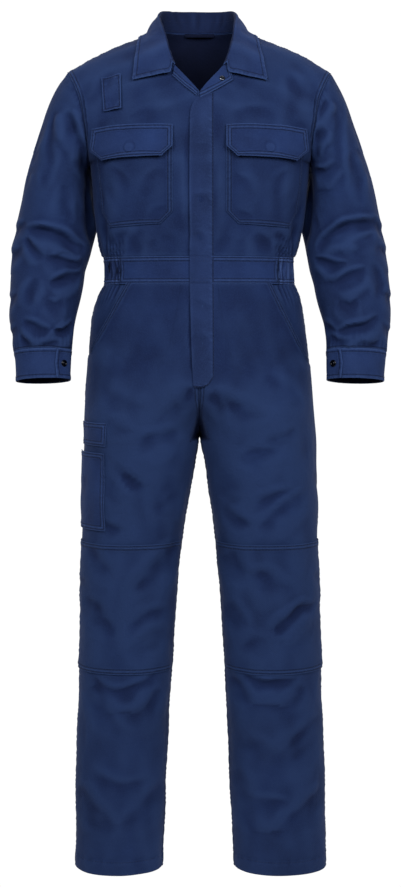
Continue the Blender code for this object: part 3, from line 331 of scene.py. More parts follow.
def dressed(plain, facing, lines, sewn="", turned="", closed=False, uneven=1.0, extra=0.0, fade=1.0,
            gaps=TOPSTITCH):
    """Give a plain grid its folds, its slack and its seams; facing is the sign of its normals.

    sewn and turned name its edges. uneven scales the slack, fade weakens slack and folds, extra is added.
    Returns the points and their outward normals.
    """
    normals = grid_normals(plain, closed) * facing
    lift = fade * (relief(lines, plain, normals) + uneven * slack(plain)) + extra
    for letter in sewn:
        lift = lift + plain_seam(*edge_run(plain, letter))
    for letter in turned:
        lift = lift + turned_edge(*edge_run(plain, letter), gaps)
    points = plain + normals * lift[..., None]
    return points, grid_normals(points, closed) * facing


def linear(code):
    """Turn an sRGB hex colour to a linear one, each channel by the sRGB curve."""
    channels = np.array([int(code[start:start + 2], 16) for start in (1, 3, 5)]) / 255
    bent = np.where(channels <= 0.04045, channels / 12.92, ((channels + 0.055) / 1.055) ** 2.4)
    return (*bent.tolist(), 1.0)


def add(tree, kind, sockets=None, output=0, **settings):
    """Add a node with its settings and return one of its outputs; each socket gets a value or a link."""
    node = tree.nodes.new("ShaderNode" + kind)
    for name, value in settings.items():
        setattr(node, name, value)
    for name, value in (sockets or {}).items():
        if isinstance(value, bpy.types.NodeSocket):
            tree.links.new(value, node.inputs[name])
        else:
            node.inputs[name].default_value = value
    return node.outputs[output]


def started(name):
    """Start a material: the material, its node tree and its shader."""
    finish = bpy.data.materials.new(name)
    finish.use_nodes = True
    return finish, finish.node_tree, finish.node_tree.nodes["Principled BSDF"]


def covered(tree, shader, layers, height, strength, distance):
    """Give a shader its colour and its relief.

    The first layer is a plain colour; each later one mixes a colour over it by a factor. The height goes
    in by way of a bump.
    """
    colour = linear(layers[0])
    for factor, code in layers[1:]:
        colour = add(tree, "Mix", {0: factor, 6: colour, 7: linear(code)}, 2, data_type="RGBA")
    bump = add(tree, "Bump", {"Height": height, "Strength": strength, "Distance": distance})
    tree.links.new(colour, shader.inputs["Base Color"])
    tree.links.new(bump, shader.inputs["Normal"])


NAVY_FACE = "#1F3260"     # the twill's warp side
NAVY_DEEP = "#15234A"     # darker dye in random clouds, and painted shade in the folds' troughs
NAVY_GROOVE_SHADE = "#0B1430"     # painted shade in the stitch grooves
NAVY_WORN_AND_HIGHLIGHT = "#324979"     # rubbed edges, slubs and ridges, with a painted highlight on edges, puckers and ridges


def twill(name, rows=(0.0025, 0.0085), edge_wear_and_highlight=0.55, face=NAVY_FACE, deep=NAVY_DEEP, worn=NAVY_WORN_AND_HIGHLIGHT):
    """Cotton-rich work twill, piece-dyed navy and washed once: matt, with a faint diagonal rib.

    The rib is 0.5 mm apart in the real cloth and drawn 3 mm apart so that it shows. Rows are the stitch
    rows' distances from a sewn edge: each is a fine groove darkened with painted shade, and the cloth
    between them puckers and is paler, where its layers lie double: wear and a painted highlight. Sewn
    edges, pucker crests and ridges are paler as wear and as a painted highlight; troughs get painted shade.
    """
    finish, tree, shader = started(name)
    place, chart = (add(tree, "TexCoord", output=label) for label in ("Object", "UV"))
    seam, along, ridge = (add(tree, "Attribute", output="Fac", attribute_name=label)
                          for label in ("seam", "along", "ridge"))

    def bell_beside(middle, width):
        """A bell curve of the distance from the seam: e to minus the square of its share of the width."""
        offset = add(tree, "Math", {0: seam, 1: middle}, operation="SUBTRACT")
        share = add(tree, "Math", {0: offset, 1: width}, operation="DIVIDE")
        square = add(tree, "Math", {0: share, 1: share}, operation="MULTIPLY")
        return add(tree, "Math", {0: 2.718, 1: added_up([(square, -1.0)])}, operation="POWER")

    def added_up(parts):
        """Each part times its share, one on top of the other."""
        total = 0.0
        for part, share in parts:
            total = add(tree, "Math", {0: part, 1: share, 2: total}, operation="MULTIPLY_ADD")
        return total

    clouds = add(tree, "TexNoise", {"Vector": place, "Scale": 11.0, "Detail": 4.0, "Roughness": 0.6})
    creases = add(tree, "TexNoise", {"Vector": place, "Scale": 75.0, "Detail": 3.0, "Roughness": 0.62,
                                     "Distortion": 0.4})
    slubs = add(tree, "TexNoise", {"Vector": chart, "Scale": 420.0, "Detail": 2.0, "Roughness": 0.7})
    rib = add(tree, "TexWave", {"Vector": chart, "Scale": 150.0, "Distortion": 0.9, "Detail": 1.0,
                                "Detail Scale": 2.0}, "Fac", bands_direction="DIAGONAL")
    wave = add(tree, "TexNoise", {"W": added_up([(along, 150.0)]), "Scale": 1.0, "Detail": 1.5},
               noise_dimensions="1D")
    # paler beside seams, on pucker crests and on ridges: wear and a painted highlight
    near = bell_beside(0.003, 0.006)
    bulged = add(tree, "Math", {0: near, 1: wave}, operation="MULTIPLY")
    puckered = add(tree, "Math", {0: added_up([(bulged, 1.1), (near, -0.495)]), 1: 0.0}, operation="MAXIMUM")
    raised = add(tree, "MapRange", {"Value": ridge, "From Max": 1.5, "To Max": 0.525})
    rubbed = added_up([(bell_beside(0.0, 0.0016), edge_wear_and_highlight), (puckered, 1.0), (raised, 1.0)])
    layers = [
        deep,
        (add(tree, "MapRange", {"Value": clouds, "From Min": 0.3, "From Max": 0.7}), face),
        (add(tree, "MapRange", {"Value": slubs, "From Min": 0.42, "From Max": 0.75, "To Max": 0.3}), worn),
        (add(tree, "Math", {0: rubbed, 1: 0.75}, operation="MINIMUM"), worn),
        # painted shade: the folds' troughs, where ridge is below 0, darken to the deep colour
        (add(tree, "MapRange", {"Value": ridge, "From Max": -1.5, "To Max": 0.675}), deep),
    ]
    heights = [(rib, 0.12), (slubs, 0.35), (creases, 1.5), (bulged, 1.3)]
    # between two rows the cloth is paler: wear and a painted highlight on the raised double layers
    if len(rows) > 1:
        layers.append((added_up([(bell_beside(sum(rows) / 2, 0.0034), 0.32)]), worn))
    uneven = add(tree, "Math", {0: wave, 1: 0.6, 2: 0.35}, operation="MULTIPLY_ADD")
    # each row's groove is bumped in and darkened: painted shade in the groove
    for row in rows:
        groove = bell_beside(row, 0.0012)
        heights.append((groove, -0.7))
        layers.append((add(tree, "Math", {0: groove, 1: uneven}, operation="MULTIPLY"), NAVY_GROOVE_SHADE))
    covered(tree, shader, layers, added_up(heights), 0.85, 0.001)
    shader.inputs["Roughness"].default_value = 0.86
    shader.inputs["Specular IOR Level"].default_value = 0.16
    shader.inputs["Sheen Weight"].default_value = 0.10
    shader.inputs["Sheen Roughness"].default_value = 0.45
    shader.inputs["Sheen Tint"].default_value = linear("#8FA4E0")
    return finish


def ridges(points, normals, closed=False):
    """Where a surface is raised over its surroundings, about -1 to 1: its height over a blurred copy.

    The copy is blurred 14 times along the columns and up the rows, each point with its two neighbours.
    """
    blurred = points
    for _ in range(14):
        padded = np.pad(blurred, [(1, 1), (0, 0), (0, 0)], mode="edge")
        blurred = (padded[:-2] + 2 * blurred + padded[2:]) / 4
        padded = np.pad(blurred, [(0, 0), (1, 1), (0, 0)], mode="wrap" if closed else "edge")
        blurred = (padded[:, :-2] + 2 * blurred + padded[:, 2:]) / 4
    return np.clip(((points - blurred) * normals).sum(axis=2) / 0.0011, -1.5, 1.5)


def piece(name, mesh, node=None):
    """Put a mesh in the scene as a piece of the suit's one body, in place of the CAD node it dresses."""
    thing = bpy.data.objects.new(name, mesh)
    bpy.context.scene.collection.objects.link(thing)
    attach(thing, "root")
    if node:
        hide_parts(node)
    return thing


def shell(node, points, normals, finish, sewn="", closed=False, thickness=CLOTH,
          shaded_rows=0):
    """A thin cloth wall: the outer grid, the same grid moved inwards, and a rounded edge between the two.

    sewn names the grid's stitched edges: b first row, t last row, l first column, r last column. Each
    vertex keeps its distance from the nearest one, its run along it and how far it is raised. The inner
    wall, and the first rows of the outer one when some are given, get painted shade: a darker copy of the
    twill.
    """
    rows, columns = points.shape[:2]
    from_left, _ = edge_distance(points, True)
    from_low, _ = edge_distance(points, False)
    distance, course = np.full((rows, columns), 0.2), from_low
    for letter in sewn:
        gap, run = edge_run(points, letter)
        course = np.where(gap < distance, run, course)
        distance = np.minimum(distance, gap)
    ridge = ridges(points, normals, closed)
    inside = points - normals * thickness
    index = np.arange(rows * columns).reshape(rows, columns)
    vertex, width, tall = index, from_left, from_low
    if closed:
        vertex = np.concatenate([index, index[:, :1]], axis=1)
        last = np.linalg.norm(points[:, -1] - points[:, 0], axis=1)[:, None]
        width = np.concatenate([from_left, from_left[:, -1:] + last], axis=1)
        tall = np.concatenate([from_low, from_low[:, :1]], axis=1)
    slots = np.arange(vertex.size).reshape(vertex.shape)
    vertex = vertex.reshape(-1)

    def strip(near, far):
        """Quads between two runs of numbers."""
        return np.stack([near[..., :-1], near[..., 1:], far[..., 1:], far[..., :-1]], axis=-1).reshape(-1, 4)

    deep = rows * columns
    corners = [strip(slots[:-1], slots[1:]), strip(slots[1:], slots[:-1])]
    faces = [vertex[corners[0]], vertex[corners[1]] + deep]
    if closed:
        loops = [slots[0], slots[-1, ::-1]]
    else:
        loops = [np.concatenate([slots[0], slots[1:, -1], slots[-1, -2::-1], slots[-2::-1, 0]])]
    spots, facings = points.reshape(-1, 3), normals.reshape(-1, 3)
    everything = [spots, inside.reshape(-1, 3)]
    copies = [np.arange(deep), np.arange(deep)]
    count = 2 * deep
    for loop in loops:
        row, column = np.divmod(loop, slots.shape[1])
        within = slots[np.clip(row, 1, rows - 2), column if closed else np.clip(column, 1, columns - 2)]
        edge = vertex[loop]
        out = spots[edge] - spots[vertex[within]]
        out -= (out * facings[edge]).sum(axis=1, keepdims=True) * facings[edge]
        out /= np.maximum(np.linalg.norm(out, axis=1, keepdims=True), 1e-9)
        middle = spots[edge] - facings[edge] * thickness / 2 + out * thickness * 0.45
        ring = np.concatenate([np.arange(count, count + len(edge) - 1), [count]])
        count += len(edge) - 1
        everything.append(middle[:-1])
        copies.append(edge[:-1])
        faces += [strip(ring, edge), strip(edge + deep, ring)]
        corners += [strip(loop, loop), strip(loop, loop)]
    mesh = bpy.data.meshes.new(node + "_cloth")
    polygons = np.concatenate(faces)
    if np.cross(points[0, 1] - points[0, 0], points[1, 0] - points[0, 0]) @ normals[0, 0] < 0:
        polygons = polygons[:, ::-1]
        corners = [corner[:, ::-1] for corner in corners]
    mesh.from_pydata(np.concatenate(everything), [], polygons)
    copied = np.concatenate(copies)
    for label, values in (("seam", distance), ("along", course), ("ridge", ridge)):
        layer = mesh.attributes.new(label, "FLOAT", "POINT")
        layer.data.foreach_set("value", values.reshape(-1)[copied].astype(np.float32))
    chart = np.stack([width, tall], axis=-1).reshape(-1, 2)[np.concatenate(corners).reshape(-1)]
    mesh.uv_layers.new(name="cloth").data.foreach_set("uv", chart.astype(np.float32).reshape(-1))
    mesh.validate()
    mesh.shade_smooth()
    mesh.set_sharp_from_angle(angle=np.radians(60))
    mesh.materials.append(finish)
    # the second slot is painted shade: a darker copy of the twill for the inside, or the stand's one
    mesh.materials.append(SHADED_STAND if shaded_rows else SHADED_INSIDE)
    inner = np.zeros(len(mesh.polygons), dtype=np.int32)
    inner[len(corners[0]):len(corners[0]) + len(corners[1])] = 1
    inner[:shaded_rows * (slots.shape[1] - 1)] = 1
    mesh.polygons.foreach_set("material_index", inner)
    thing = piece(node + "_cloth", mesh, node)


def edge_rows(points, normals, letters, gaps=TOPSTITCH, first=0.0, last=1.0):
    """Stitch rows along a grid's edges, one for each gap, between two shares of the edge's length.

    A row is places and normals, read between the grid's points at that distance from the edge.
    """
    grid = np.concatenate([points, normals], axis=2)
    from_edge = {"l": grid, "r": grid[:, ::-1],
                 "b": grid.transpose(1, 0, 2), "t": grid[::-1].transpose(1, 0, 2)}
    rows = []
    for letter in letters:
        lines = from_edge[letter]
        picked = slice(int(first * len(lines)), int(np.ceil(last * len(lines))))
        run = edge_distance(lines[..., :3], True)[0]
        rows += [np.array([[np.interp(gap, far, column) for column in line.T]
                           for line, far in zip(lines[picked], run[picked])]) for gap in gaps]
    return rows


# Stitches are twice as long as real ones, so that a row still shows as dashes from across a room.
STITCH_PITCH, STITCH_LENGTH, STITCH_WIDTH = 0.0056, 0.0040, 0.0009


def stitches(name, rows):
    """Lockstitches along rows of places and normals: each a low eight-faced lens, all in one mesh."""
    ends, sides, tops = [], [], []
    for row in rows:
        run = np.concatenate([[0], np.cumsum(np.linalg.norm(np.diff(row[:, :3], axis=0), axis=1))])
        at = np.arange(STITCH_PITCH / 2, run[-1], STITCH_PITCH)
        placed = np.stack([np.interp(at, run, column) for column in row.T], axis=-1)
        centre, normal = placed[:, :3], placed[:, 3:]
        tangent = np.gradient(centre, axis=0)
        tangent /= np.linalg.norm(tangent, axis=1, keepdims=True)
        half, aside = tangent * STITCH_LENGTH / 2, np.cross(tangent, normal) * STITCH_WIDTH / 2
        ends.append(np.stack([centre - half, centre + half], axis=1))
        sides.append(np.stack([centre - aside, centre + aside], axis=1))
        tops.append(np.stack([centre + normal * 0.00045, centre - normal * 0.0003], axis=1))
    vertices = np.concatenate([np.concatenate(part) for part in (ends, sides, tops)], axis=1)
    ring = [(0, 2), (2, 1), (1, 3), (3, 0)]
    lens = np.array([(a, b, 4) for a, b in ring] + [(b, a, 5) for a, b in ring])
    faces = np.arange(len(vertices))[:, None, None] * 6 + lens[None]
    mesh = bpy.data.meshes.new(name)
    mesh.from_pydata(vertices.reshape(-1, 3), [], faces.reshape(-1, 3))
    mesh.shade_smooth()
    mesh.materials.append(THREAD)
    piece(name, mesh)


def thread(name, code):
    """Spun polyester thread, tone on tone: a soft shine and a fine twist along it."""
    finish, tree, shader = started(name)
    place = add(tree, "TexCoord", output="Object")
    twist = add(tree, "TexNoise", {"Vector": place, "Scale": 900.0, "Detail": 2.0})
    covered(tree, shader, [code, (twist, NAVY_DEEP)], twist, 0.5, 0.0003)
    shader.inputs["Roughness"].default_value = 0.6
    return finish


# A fold, by the view it is drawn in: its width and depth, its lips' share of the depth, the share of its
# length where it is deepest, then its places (x or y, and z). Lengths are in mm.
LEG_FOLDS = {
    "right": {
        "front": [
            (2.6, 2.4, 0, 0.5, -20, -450, -18, -517, -16, -574, -14, -631),
            (16.5, 3.4, 0.47, 0.5, -122, -752, -102, -738, -75, -727, -36, -720),
            (13.8, 2.8, 0.41, 0.5, -159, -771, -139, -786, -120, -803, -97, -821),
            (13.8, 2.4, 0.41, 0.5, -170, -791, -155, -819, -134, -851),
            (11, 2.6, 0.41, 0.5, -139, -791, -123, -802, -109, -812),
            (30.3, 3, 0.27, 0.5, -44, -798, -56, -837, -70, -873),
            (12.4, 2.4, 0.54, 0.6, -175, -874, -161, -890, -139, -903),
            (13.8, 2.2, 0.41, 0.4, -12, -644, -31, -667, -56, -684, -88, -702),
            (12.4, 2.1, 0.41, 0.6, -38, -642, -24, -644, -12, -644),
            (24.8, 2.1, 0.27, 0.5, -177, -638, -141, -663, -88, -677),
            (19.3, 2.6, 0.27, 0.5, -170, -700, -138, -718, -106, -723),
            (17.9, 2.8, 0.47, 0.4, -202, -930, -184, -956, -155, -983),
            (20.7, 3.4, 0.47, 0.45, -42, -924, -74, -962, -117, -1008),
            (17.9, 2.8, 0.47, 0.4, -207, -1023, -184, -1051, -153, -1087),
            (16.5, 2.4, 0.47, 0.5, -56, -1041, -92, -1051, -130, -1076),
            (16.5, 2.6, 0.47, 0.4, -60, -1076, -92, -1094, -133, -1119),
            (9.5, -1.6, 0, 0.5, -130, -983, -137, -1037, -142, -1118),
            (11, 3.2, 0.81, 0.5, -194, -1167, -167, -1184, -136, -1187, -104, -1176, -75, -1157),
            (16.5, 2.8, 0.41, 0.3, -194, -1180, -172, -1223, -140, -1266),
            (16.5, 2.8, 0.41, 0.3, -77, -1187, -95, -1216, -127, -1250),
            (17.9, 2.2, 0.41, 0.5, -201, -1333, -172, -1355, -134, -1364, -89, -1358),
            (19.3, 2.6, 0.41, 0.35, -221, -1369, -192, -1403, -150, -1443),
            (19.3, 2.6, 0.41, 0.35, -71, -1367, -95, -1396, -132, -1434),
            (3.2, -0.8, 0, 0.5, -203, -921, -196, -974, -193, -1019, -207, -1091, -210, -1130),
            (3.2, -0.8, 0, 0.5, -212, -1144, -215, -1202, -204, -1265, -213, -1328, -215, -1382, -208, -1454),
        ],
        "back": [
            (14, 3.6, 0.4, 0.5, -60, -700, -95, -722, -140, -728),
            (12, 3, 0.35, 0.4, -20, -690, -40, -730, -48, -790),
            (14, 3, 0.3, 0.5, -165, -640, -130, -672, -95, -690),
            (12, 2.6, 0.3, 0.5, -50, -820, -95, -838, -150, -832),
            (11, 4.4, 0.5, 0.5, -62, -985, -105, -1004, -165, -988),
            (10, 4, 0.5, 0.45, -70, -1026, -120, -1040, -178, -1020),
            (12, 3, 0.35, 0.5, -85, -1075, -130, -1078, -190, -1058),
            (13, 2.8, 0.3, 0.5, -80, -1160, -112, -1190, -128, -1240),
            (13, 2.8, 0.3, 0.5, -205, -1150, -180, -1196, -150, -1235),
            (13, 2.6, 0.3, 0.5, -90, -1330, -130, -1352, -180, -1346),
            (14, 2.8, 0.3, 0.4, -88, -1400, -112, -1440, -140, -1470),
            (14, 2.8, 0.3, 0.4, -212, -1390, -190, -1436, -168, -1462),
            (16, 3, 0.25, 0.5, -60, -540, -100, -580, -150, -600),
            (15, 2.6, 0.25, 0.5, -30, -600, -70, -640, -120, -655),
        ],
        "right": [
            (12, 2.8, 0.35, 0.5, -50, -985, -5, -998, 55, -1010),
            (12, 2.4, 0.3, 0.5, -45, -1050, 0, -1040, 50, -1052),
            (13, 2.4, 0.3, 0.5, -60, -800, -10, -830, 40, -850),
            (13, 2.2, 0.3, 0.5, -30, -1180, 5, -1230, 30, -1290),
        ],
    },
    "left": {
        "front": [
            (16.5, 3.5, 0.41, 0.35, 20, -645, 45, -661, 75, -677, 118, -697),
            (12.4, 2.4, 0.41, 0.4, 20, -647, 31, -672, 44, -706),
            (13.8, 2.8, 0.41, 0.5, 111, -743, 136, -731, 173, -715),
            (15.2, 2.8, 0.41, 0.5, 68, -771, 90, -759, 115, -754, 143, -752),
            (30.3, 2.6, 0.27, 0.5, 40, -784, 51, -819, 61, -858),
            (13.8, 3, 0.47, 0.5, 90, -862, 118, -842, 143, -832, 171, -823),
            (13.8, 3, 0.47, 0.5, 104, -894, 132, -869, 161, -848, 194, -826),
            (13.8, 2.6, 0.41, 0.5, 40, -851, 63, -873, 97, -887),
            (22, 2.1, 0.27, 0.5, 111, -624, 150, -645, 187, -677),
            (20.7, 3, 0.47, 0.35, 51, -935, 65, -960, 90, -992),
            (17.9, 2.4, 0.54, 0.5, 87, -976, 112, -980, 159, -1005),
            (12.4, 4.3, 0.81, 0.35, 133, -1078, 155, -1057, 178, -1039, 212, -1028),
            (17.9, 2.4, 0.41, 0.4, 53, -1032, 65, -1051, 85, -1080),
            (17.9, 2.1, 0.41, 0.5, 69, -1118, 94, -1100, 126, -1094),
            (11, 4, 0.94, 0.5, 78, -1162, 105, -1173, 138, -1173, 179, -1160),
            (15.2, 2.8, 0.47, 0.35, 57, -1164, 71, -1184, 95, -1209),
            (15.2, 2.6, 0.47, 0.4, 188, -1173, 170, -1191, 150, -1212),
            (23.4, 3, 0.34, 0.45, 221, -1241, 177, -1281, 120, -1340),
            (19.3, 2.6, 0.41, 0.4, 64, -1337, 80, -1387, 105, -1446),
            (13.8, 2.6, 0.68, 0.5, 87, -1387, 123, -1394, 163, -1391),
            (20.7, 2.8, 0.41, 0.4, 226, -1374, 186, -1407, 136, -1452),
            (19.3, 2.1, 0.41, 0.5, 84, -1274, 113, -1295, 138, -1302),
            (3.2, -0.9, 0, 0.5, 205, -659, 203, -731, 194, -784, 177, -873),
            (3.2, -0.9, 0, 0.5, 209, -906, 191, -956, 169, -1019),
            (3.2, -0.9, 0, 0.5, 214, -1019, 207, -1073, 189, -1118),
            (3.2, -0.9, 0, 0.5, 221, -1144, 210, -1202, 203, -1247),
            (3.2, -0.8, 0, 0.5, 222, -1283, 215, -1346, 203, -1436),
        ],
        "back": [
            (14, 3.4, 0.4, 0.5, 55, -705, 90, -728, 145, -722),
            (12, 3, 0.35, 0.4, 18, -688, 36, -728, 50, -795),
            (14, 3, 0.3, 0.5, 168, -630, 135, -664, 92, -688),
            (12, 2.8, 0.3, 0.5, 58, -835, 100, -850, 160, -836),
            (11, 4.6, 0.5, 0.45, 60, -972, 110, -992, 170, -980),
            (10, 4, 0.5, 0.5, 66, -1014, 112, -1030, 180, -1016),
            (12, 3.2, 0.35, 0.5, 80, -1064, 128, -1072, 192, -1060),
            (13, 2.8, 0.3, 0.5, 78, -1150, 106, -1182, 130, -1236),
            (13, 2.8, 0.3, 0.5, 208, -1160, 184, -1206, 152, -1240),
            (13, 2.6, 0.3, 0.5, 86, -1322, 128, -1346, 184, -1352),
            (14, 2.8, 0.3, 0.4, 86, -1408, 108, -1446, 142, -1468),
            (14, 2.8, 0.3, 0.4, 214, -1384, 192, -1430, 166, -1466),
            (16, 3, 0.25, 0.5, 64, -548, 104, -586, 156, -602),
            (15, 2.6, 0.25, 0.5, 34, -606, 76, -642, 124, -652),
        ],
        "left": [
            (12, 2.8, 0.35, 0.5, -52, -978, -5, -992, 55, -1002),
            (12, 2.4, 0.3, 0.5, -45, -1044, 0, -1036, 50, -1046),
            (13, 2.4, 0.3, 0.5, -60, -790, -10, -822, 40, -846),
            (13, 2.2, 0.3, 0.5, -30, -1170, 5, -1224, 30, -1286),
        ],
    },
}
HIP_POCKET_TOP = {"right": 0.1300, "left": 0.1275}    # where the slanted mouth leaves the waistband
HIP_POCKET_LOW = {"right": -0.585, "left": -0.600}    # where it ends at the side seam
MOUTH_EDGE = 0.0105       # the width of its turned edge
MOUTH_ROWS = (0.0030, 0.0090)
HEM_TURN = 0.0235         # the hem's depth, up to its stitch row
FELL = 0.0105             # how wide the felled inseam is raised
FELL_ROWS = (0.0120, 0.0215)
SEAT_ROWS = (0.0030, 0.0092)
LEG_ROWS = stations(HEM_HEIGHT, BAND_LOW + TUCK, 0.0042, 0.0014,
                    (HEM_HEIGHT, HEM_HEIGHT + HEM_TURN, BAND_LOW), 0.007)
LEG_COLUMNS = stations(0, 1, 0.021, 0.007, (0, 1), 0.055)


def mouth_angle(side, heights):
    """The angle of the hip pocket's slanted mouth at each height, and 90 degrees below its end."""
    top, low = BAND_LOW, HIP_POCKET_LOW[side]
    outer_low = read(BODY, "outer_" + side, low)
    part = np.clip((heights - low) / (top - low), 0, 1)
    across = outer_low + (HIP_POCKET_TOP[side] - outer_low) * part ** 0.9
    share = np.clip(across / read(BODY, "outer_" + side, heights), 0, 1)
    slanted = np.degrees(np.arcsin(share ** (read(BODY, "square", heights) / 2)))
    return np.where(heights > low, slanted, 90.0)


def share_under(height):
    """The share of the legs' rows that lie under a height."""
    return float(np.mean(LEG_ROWS < height))


def leg_lines(side):
    """The side's folds, laid on a plain copy of its front and back leg."""
    heights, spread = np.linspace(HEM_HEIGHT, BAND_LOW, 250), np.linspace(0, 1, 40)
    grids = [(body_grid(side, face, spread, heights), face) for face in ("front", "back")]
    points = np.concatenate([grid for grid, _ in grids])
    normals = np.concatenate([outward(grid, side, face) for grid, face in grids])
    return fold_lines(LEG_FOLDS[side], points, normals)


LEG_LINES = {side: leg_lines(side) for side in SIDE_SIGN}
# The same cloth as it shows in each place: its face; its inside, darkened as painted shade; the collar's
# stand, darkened as painted shade; and pieces folded double, lightened as painted light.
TWILL = twill("navy twill")
SHADED_INSIDE = twill("navy twill, inside, painted shade", rows=(), face="#0B1431", deep="#080E23", worn="#121C3C")
SHADED_STAND = twill("navy twill, stand, painted shade", rows=(0.0085,), face="#16244A", deep="#101B3A", worn="#22335C")
# a lighter copy of the twill: painted light on raised pieces (flaps, lapels, waistband, thigh pockets)
PAINTED_LIGHT_TWILL = twill("navy twill, doubled, painted lighter", face="#263C70", deep="#1C2C57", worn="#3A5286")
THREAD = thread("navy thread", "#26375F")     # a shade duller than the cloth


def tucked(from_edge):
    """How far a panel sinks under the band that is sewn over it: 2.2 mm, from just outside its edge."""
    return -0.0022 * smooth_step((0.0015 - from_edge) / 0.0030)


def gathered(points, run, from_edge):
    """Gathers over and under the elastic sides: ripples 6 mm deep from the seam on, dying off in 30 mm."""
    there = smooth_step((np.abs(points[..., 0]) - 0.126) / 0.02)
    fall = (1 - bell(from_edge, 0, 0.004)) * np.exp(-np.clip(from_edge / 0.030, 0, 9) ** 2)
    folded = 1.4 * (0.6 - np.abs(ripple(run, 0.026, 2.2)))
    return -0.0044 * folded * there * fall * (from_edge > 0)


def banded(plain, from_band, letter, fade=1.0):
    """A panel's edge at the waistband: tucked in under it, and gathered where the band is elastic."""
    return tucked(from_band) + gathered(plain, edge_run(plain, letter)[1], from_band) * fade


def met(points):
    """Bring a leg panel's first column to the body's middle over the fork, where the legs are joined."""
    from_edge, _ = edge_run(points, "l")
    pull = bell(from_edge, 0, 0.005) * smooth_step((points[..., 2] - FORK + 0.003) / 0.006)
    points = points.copy()
    points[..., 0] -= points[:, :1, 0] * pull
    return points


def hemmed(points, normals):
    """Raise the turned-up hem by 0.7 mm, groove it at its stitch row, and pucker it there."""
    height = points[..., 2] - HEM_HEIGHT
    pucker = ripple(points[..., 0] * 3 + points[..., 1], 0.013, 1.3) * bell(height, HEM_TURN, 0.007)
    lift = 0.0007 * (1 - smooth_step((height - HEM_TURN - 0.002) / 0.002))
    lift = lift - 0.0006 * bell(height, HEM_TURN, 0.0016) + 0.0005 * pucker
    return points + normals * lift[..., None]


def leg_front(side):
    """Front leg from the waistband to the hem, its side cut away along the hip pocket's mouth.

    The felled inseam is raised with two grooves, and so is the mouth's edge, which also stands off in its
    middle. Over the fork the cloth sinks back between the legs in a narrow triangle.
    """
    plain = body_grid(side, "front", LEG_COLUMNS, LEG_ROWS, mouth_angle(side, LEG_ROWS))
    facing = SIDE_SIGN[side]
    over_end = (LEG_ROWS - HIP_POCKET_LOW[side])[:, None]
    slit = smooth_step(over_end / 0.02)
    gape = slit * np.sin(np.pi * np.clip(over_end / 0.14, 0, 1))
    from_mouth, run = edge_run(plain, "r")
    extra = banded(plain, BAND_LOW - plain[..., 2], "t", smooth_step((from_mouth - 0.012) / 0.02))
    points, normals = dressed(plain, facing, LEG_LINES[side], "l", extra=extra)
    from_inseam, along = edge_run(plain, "l")
    lower = smooth_step((FORK - plain[..., 2]) / 0.01)
    lift = 0.0008 * lower * (1 - smooth_step((from_inseam - FELL) / 0.0015))
    lift -= 0.0006 * lower * sum(bell(from_inseam, row, 0.0012) for row in FELL_ROWS)
    lift += 0.0004 * lower * ripple(along, 0.011, 2.1) * bell(from_inseam, 0.017, 0.005)
    lift += 0.0034 * gape * bell(from_mouth, 0, 0.018)
    lift += slit * 0.0026 * (1 - smooth_step((from_mouth - MOUTH_EDGE) / 0.0020))
    lift -= slit * 0.0012 * sum(bell(from_mouth, row, 0.0011) for row in MOUTH_ROWS)
    lift -= (1 - slit) * 0.0009 * bell(from_mouth, 0, 0.0016)
    lift += 0.0005 * ripple(run, 0.011, 0.7) * bell(from_mouth, 0.005, 0.005)
    points = met(hemmed(points + normals * lift[..., None], normals))
    under_fork = np.clip((FORK + 0.052 - points[..., 2]) / 0.052, 0, 1)
    hollow = 0.014 * under_fork * smooth_step((points[..., 2] - FORK + 0.004) / 0.006)
    points[..., 1] += 2.4 * hollow * smooth_step((0.0040 + hollow - np.abs(points[..., 0])) / 0.0045)
    normals = grid_normals(points) * facing
    shell("leg_front_" + side, points, normals, TWILL, "lr")
    return [*edge_rows(points, normals, "l", FELL_ROWS, 0, share_under(FORK)),
            *edge_rows(points, normals, "r", MOUTH_ROWS, share_under(HIP_POCKET_LOW[side]), 1),
            *edge_rows(points, normals, "b", (HEM_TURN,))]


def hip_pocket_facing(side):
    """The cloth behind the pocket's mouth, from under the front leg to the side seam."""
    heights = LEG_ROWS[LEG_ROWS > HIP_POCKET_LOW[side] + 0.004]
    mouth = mouth_angle(side, heights)[:, None]
    angles = mouth - 9 + (99 - mouth) * np.linspace(0, 1, 26)[None, :]
    plain = body_point(side, angles, heights[:, None])
    plain[..., 1] -= SEAM / 2
    behind = 0.0034 * (1 - smooth_step((angles - mouth) / 24)) + 0.0002
    extra = banded(plain, BAND_LOW - plain[..., 2], "t") - behind
    points, normals = dressed(plain, SIDE_SIGN[side], LEG_LINES[side], "r", extra=extra)
    shell("hip_pocket_facing_" + side, points, normals, TWILL,
          "r")


def leg_back(side):
    """Back leg from the waistband over the seat to the hem."""
    plain = body_grid(side, "back", LEG_COLUMNS, LEG_ROWS)
    facing = -SIDE_SIGN[side]
    extra = banded(plain, BAND_LOW - plain[..., 2], "t")
    points, normals = dressed(plain, facing, LEG_LINES[side], "lr", extra=extra)
    points = met(hemmed(points, normals))
    normals = grid_normals(points) * facing
    shell("leg_back_" + side, points, normals, TWILL, "lr")
    return [*edge_rows(points, normals, "b", (HEM_TURN,)),
            *edge_rows(points, normals, "l", SEAT_ROWS, share_under(FORK), 1)]


leg_sewing = []
for leg in SIDE_SIGN:
    leg_sewing += leg_front(leg)
    hip_pocket_facing(leg)
    leg_sewing += leg_back(leg)
stitches("leg_stitching", leg_sewing)


# ---------------------------------------------------------------- knee patches
# A second layer of twill over each knee, caught in the side seam and the felled inseam, with its top and
# bottom edges turned in and sewn down by two rows.

KNEE_LOW, KNEE_HIGH = -1.156, -0.921
PATCH_SPREAD = (0.088, 0.985)     # from the fell's second row to the side seam, in shares of the panel
PATCH_LIFT = CLOTH + 0.0005


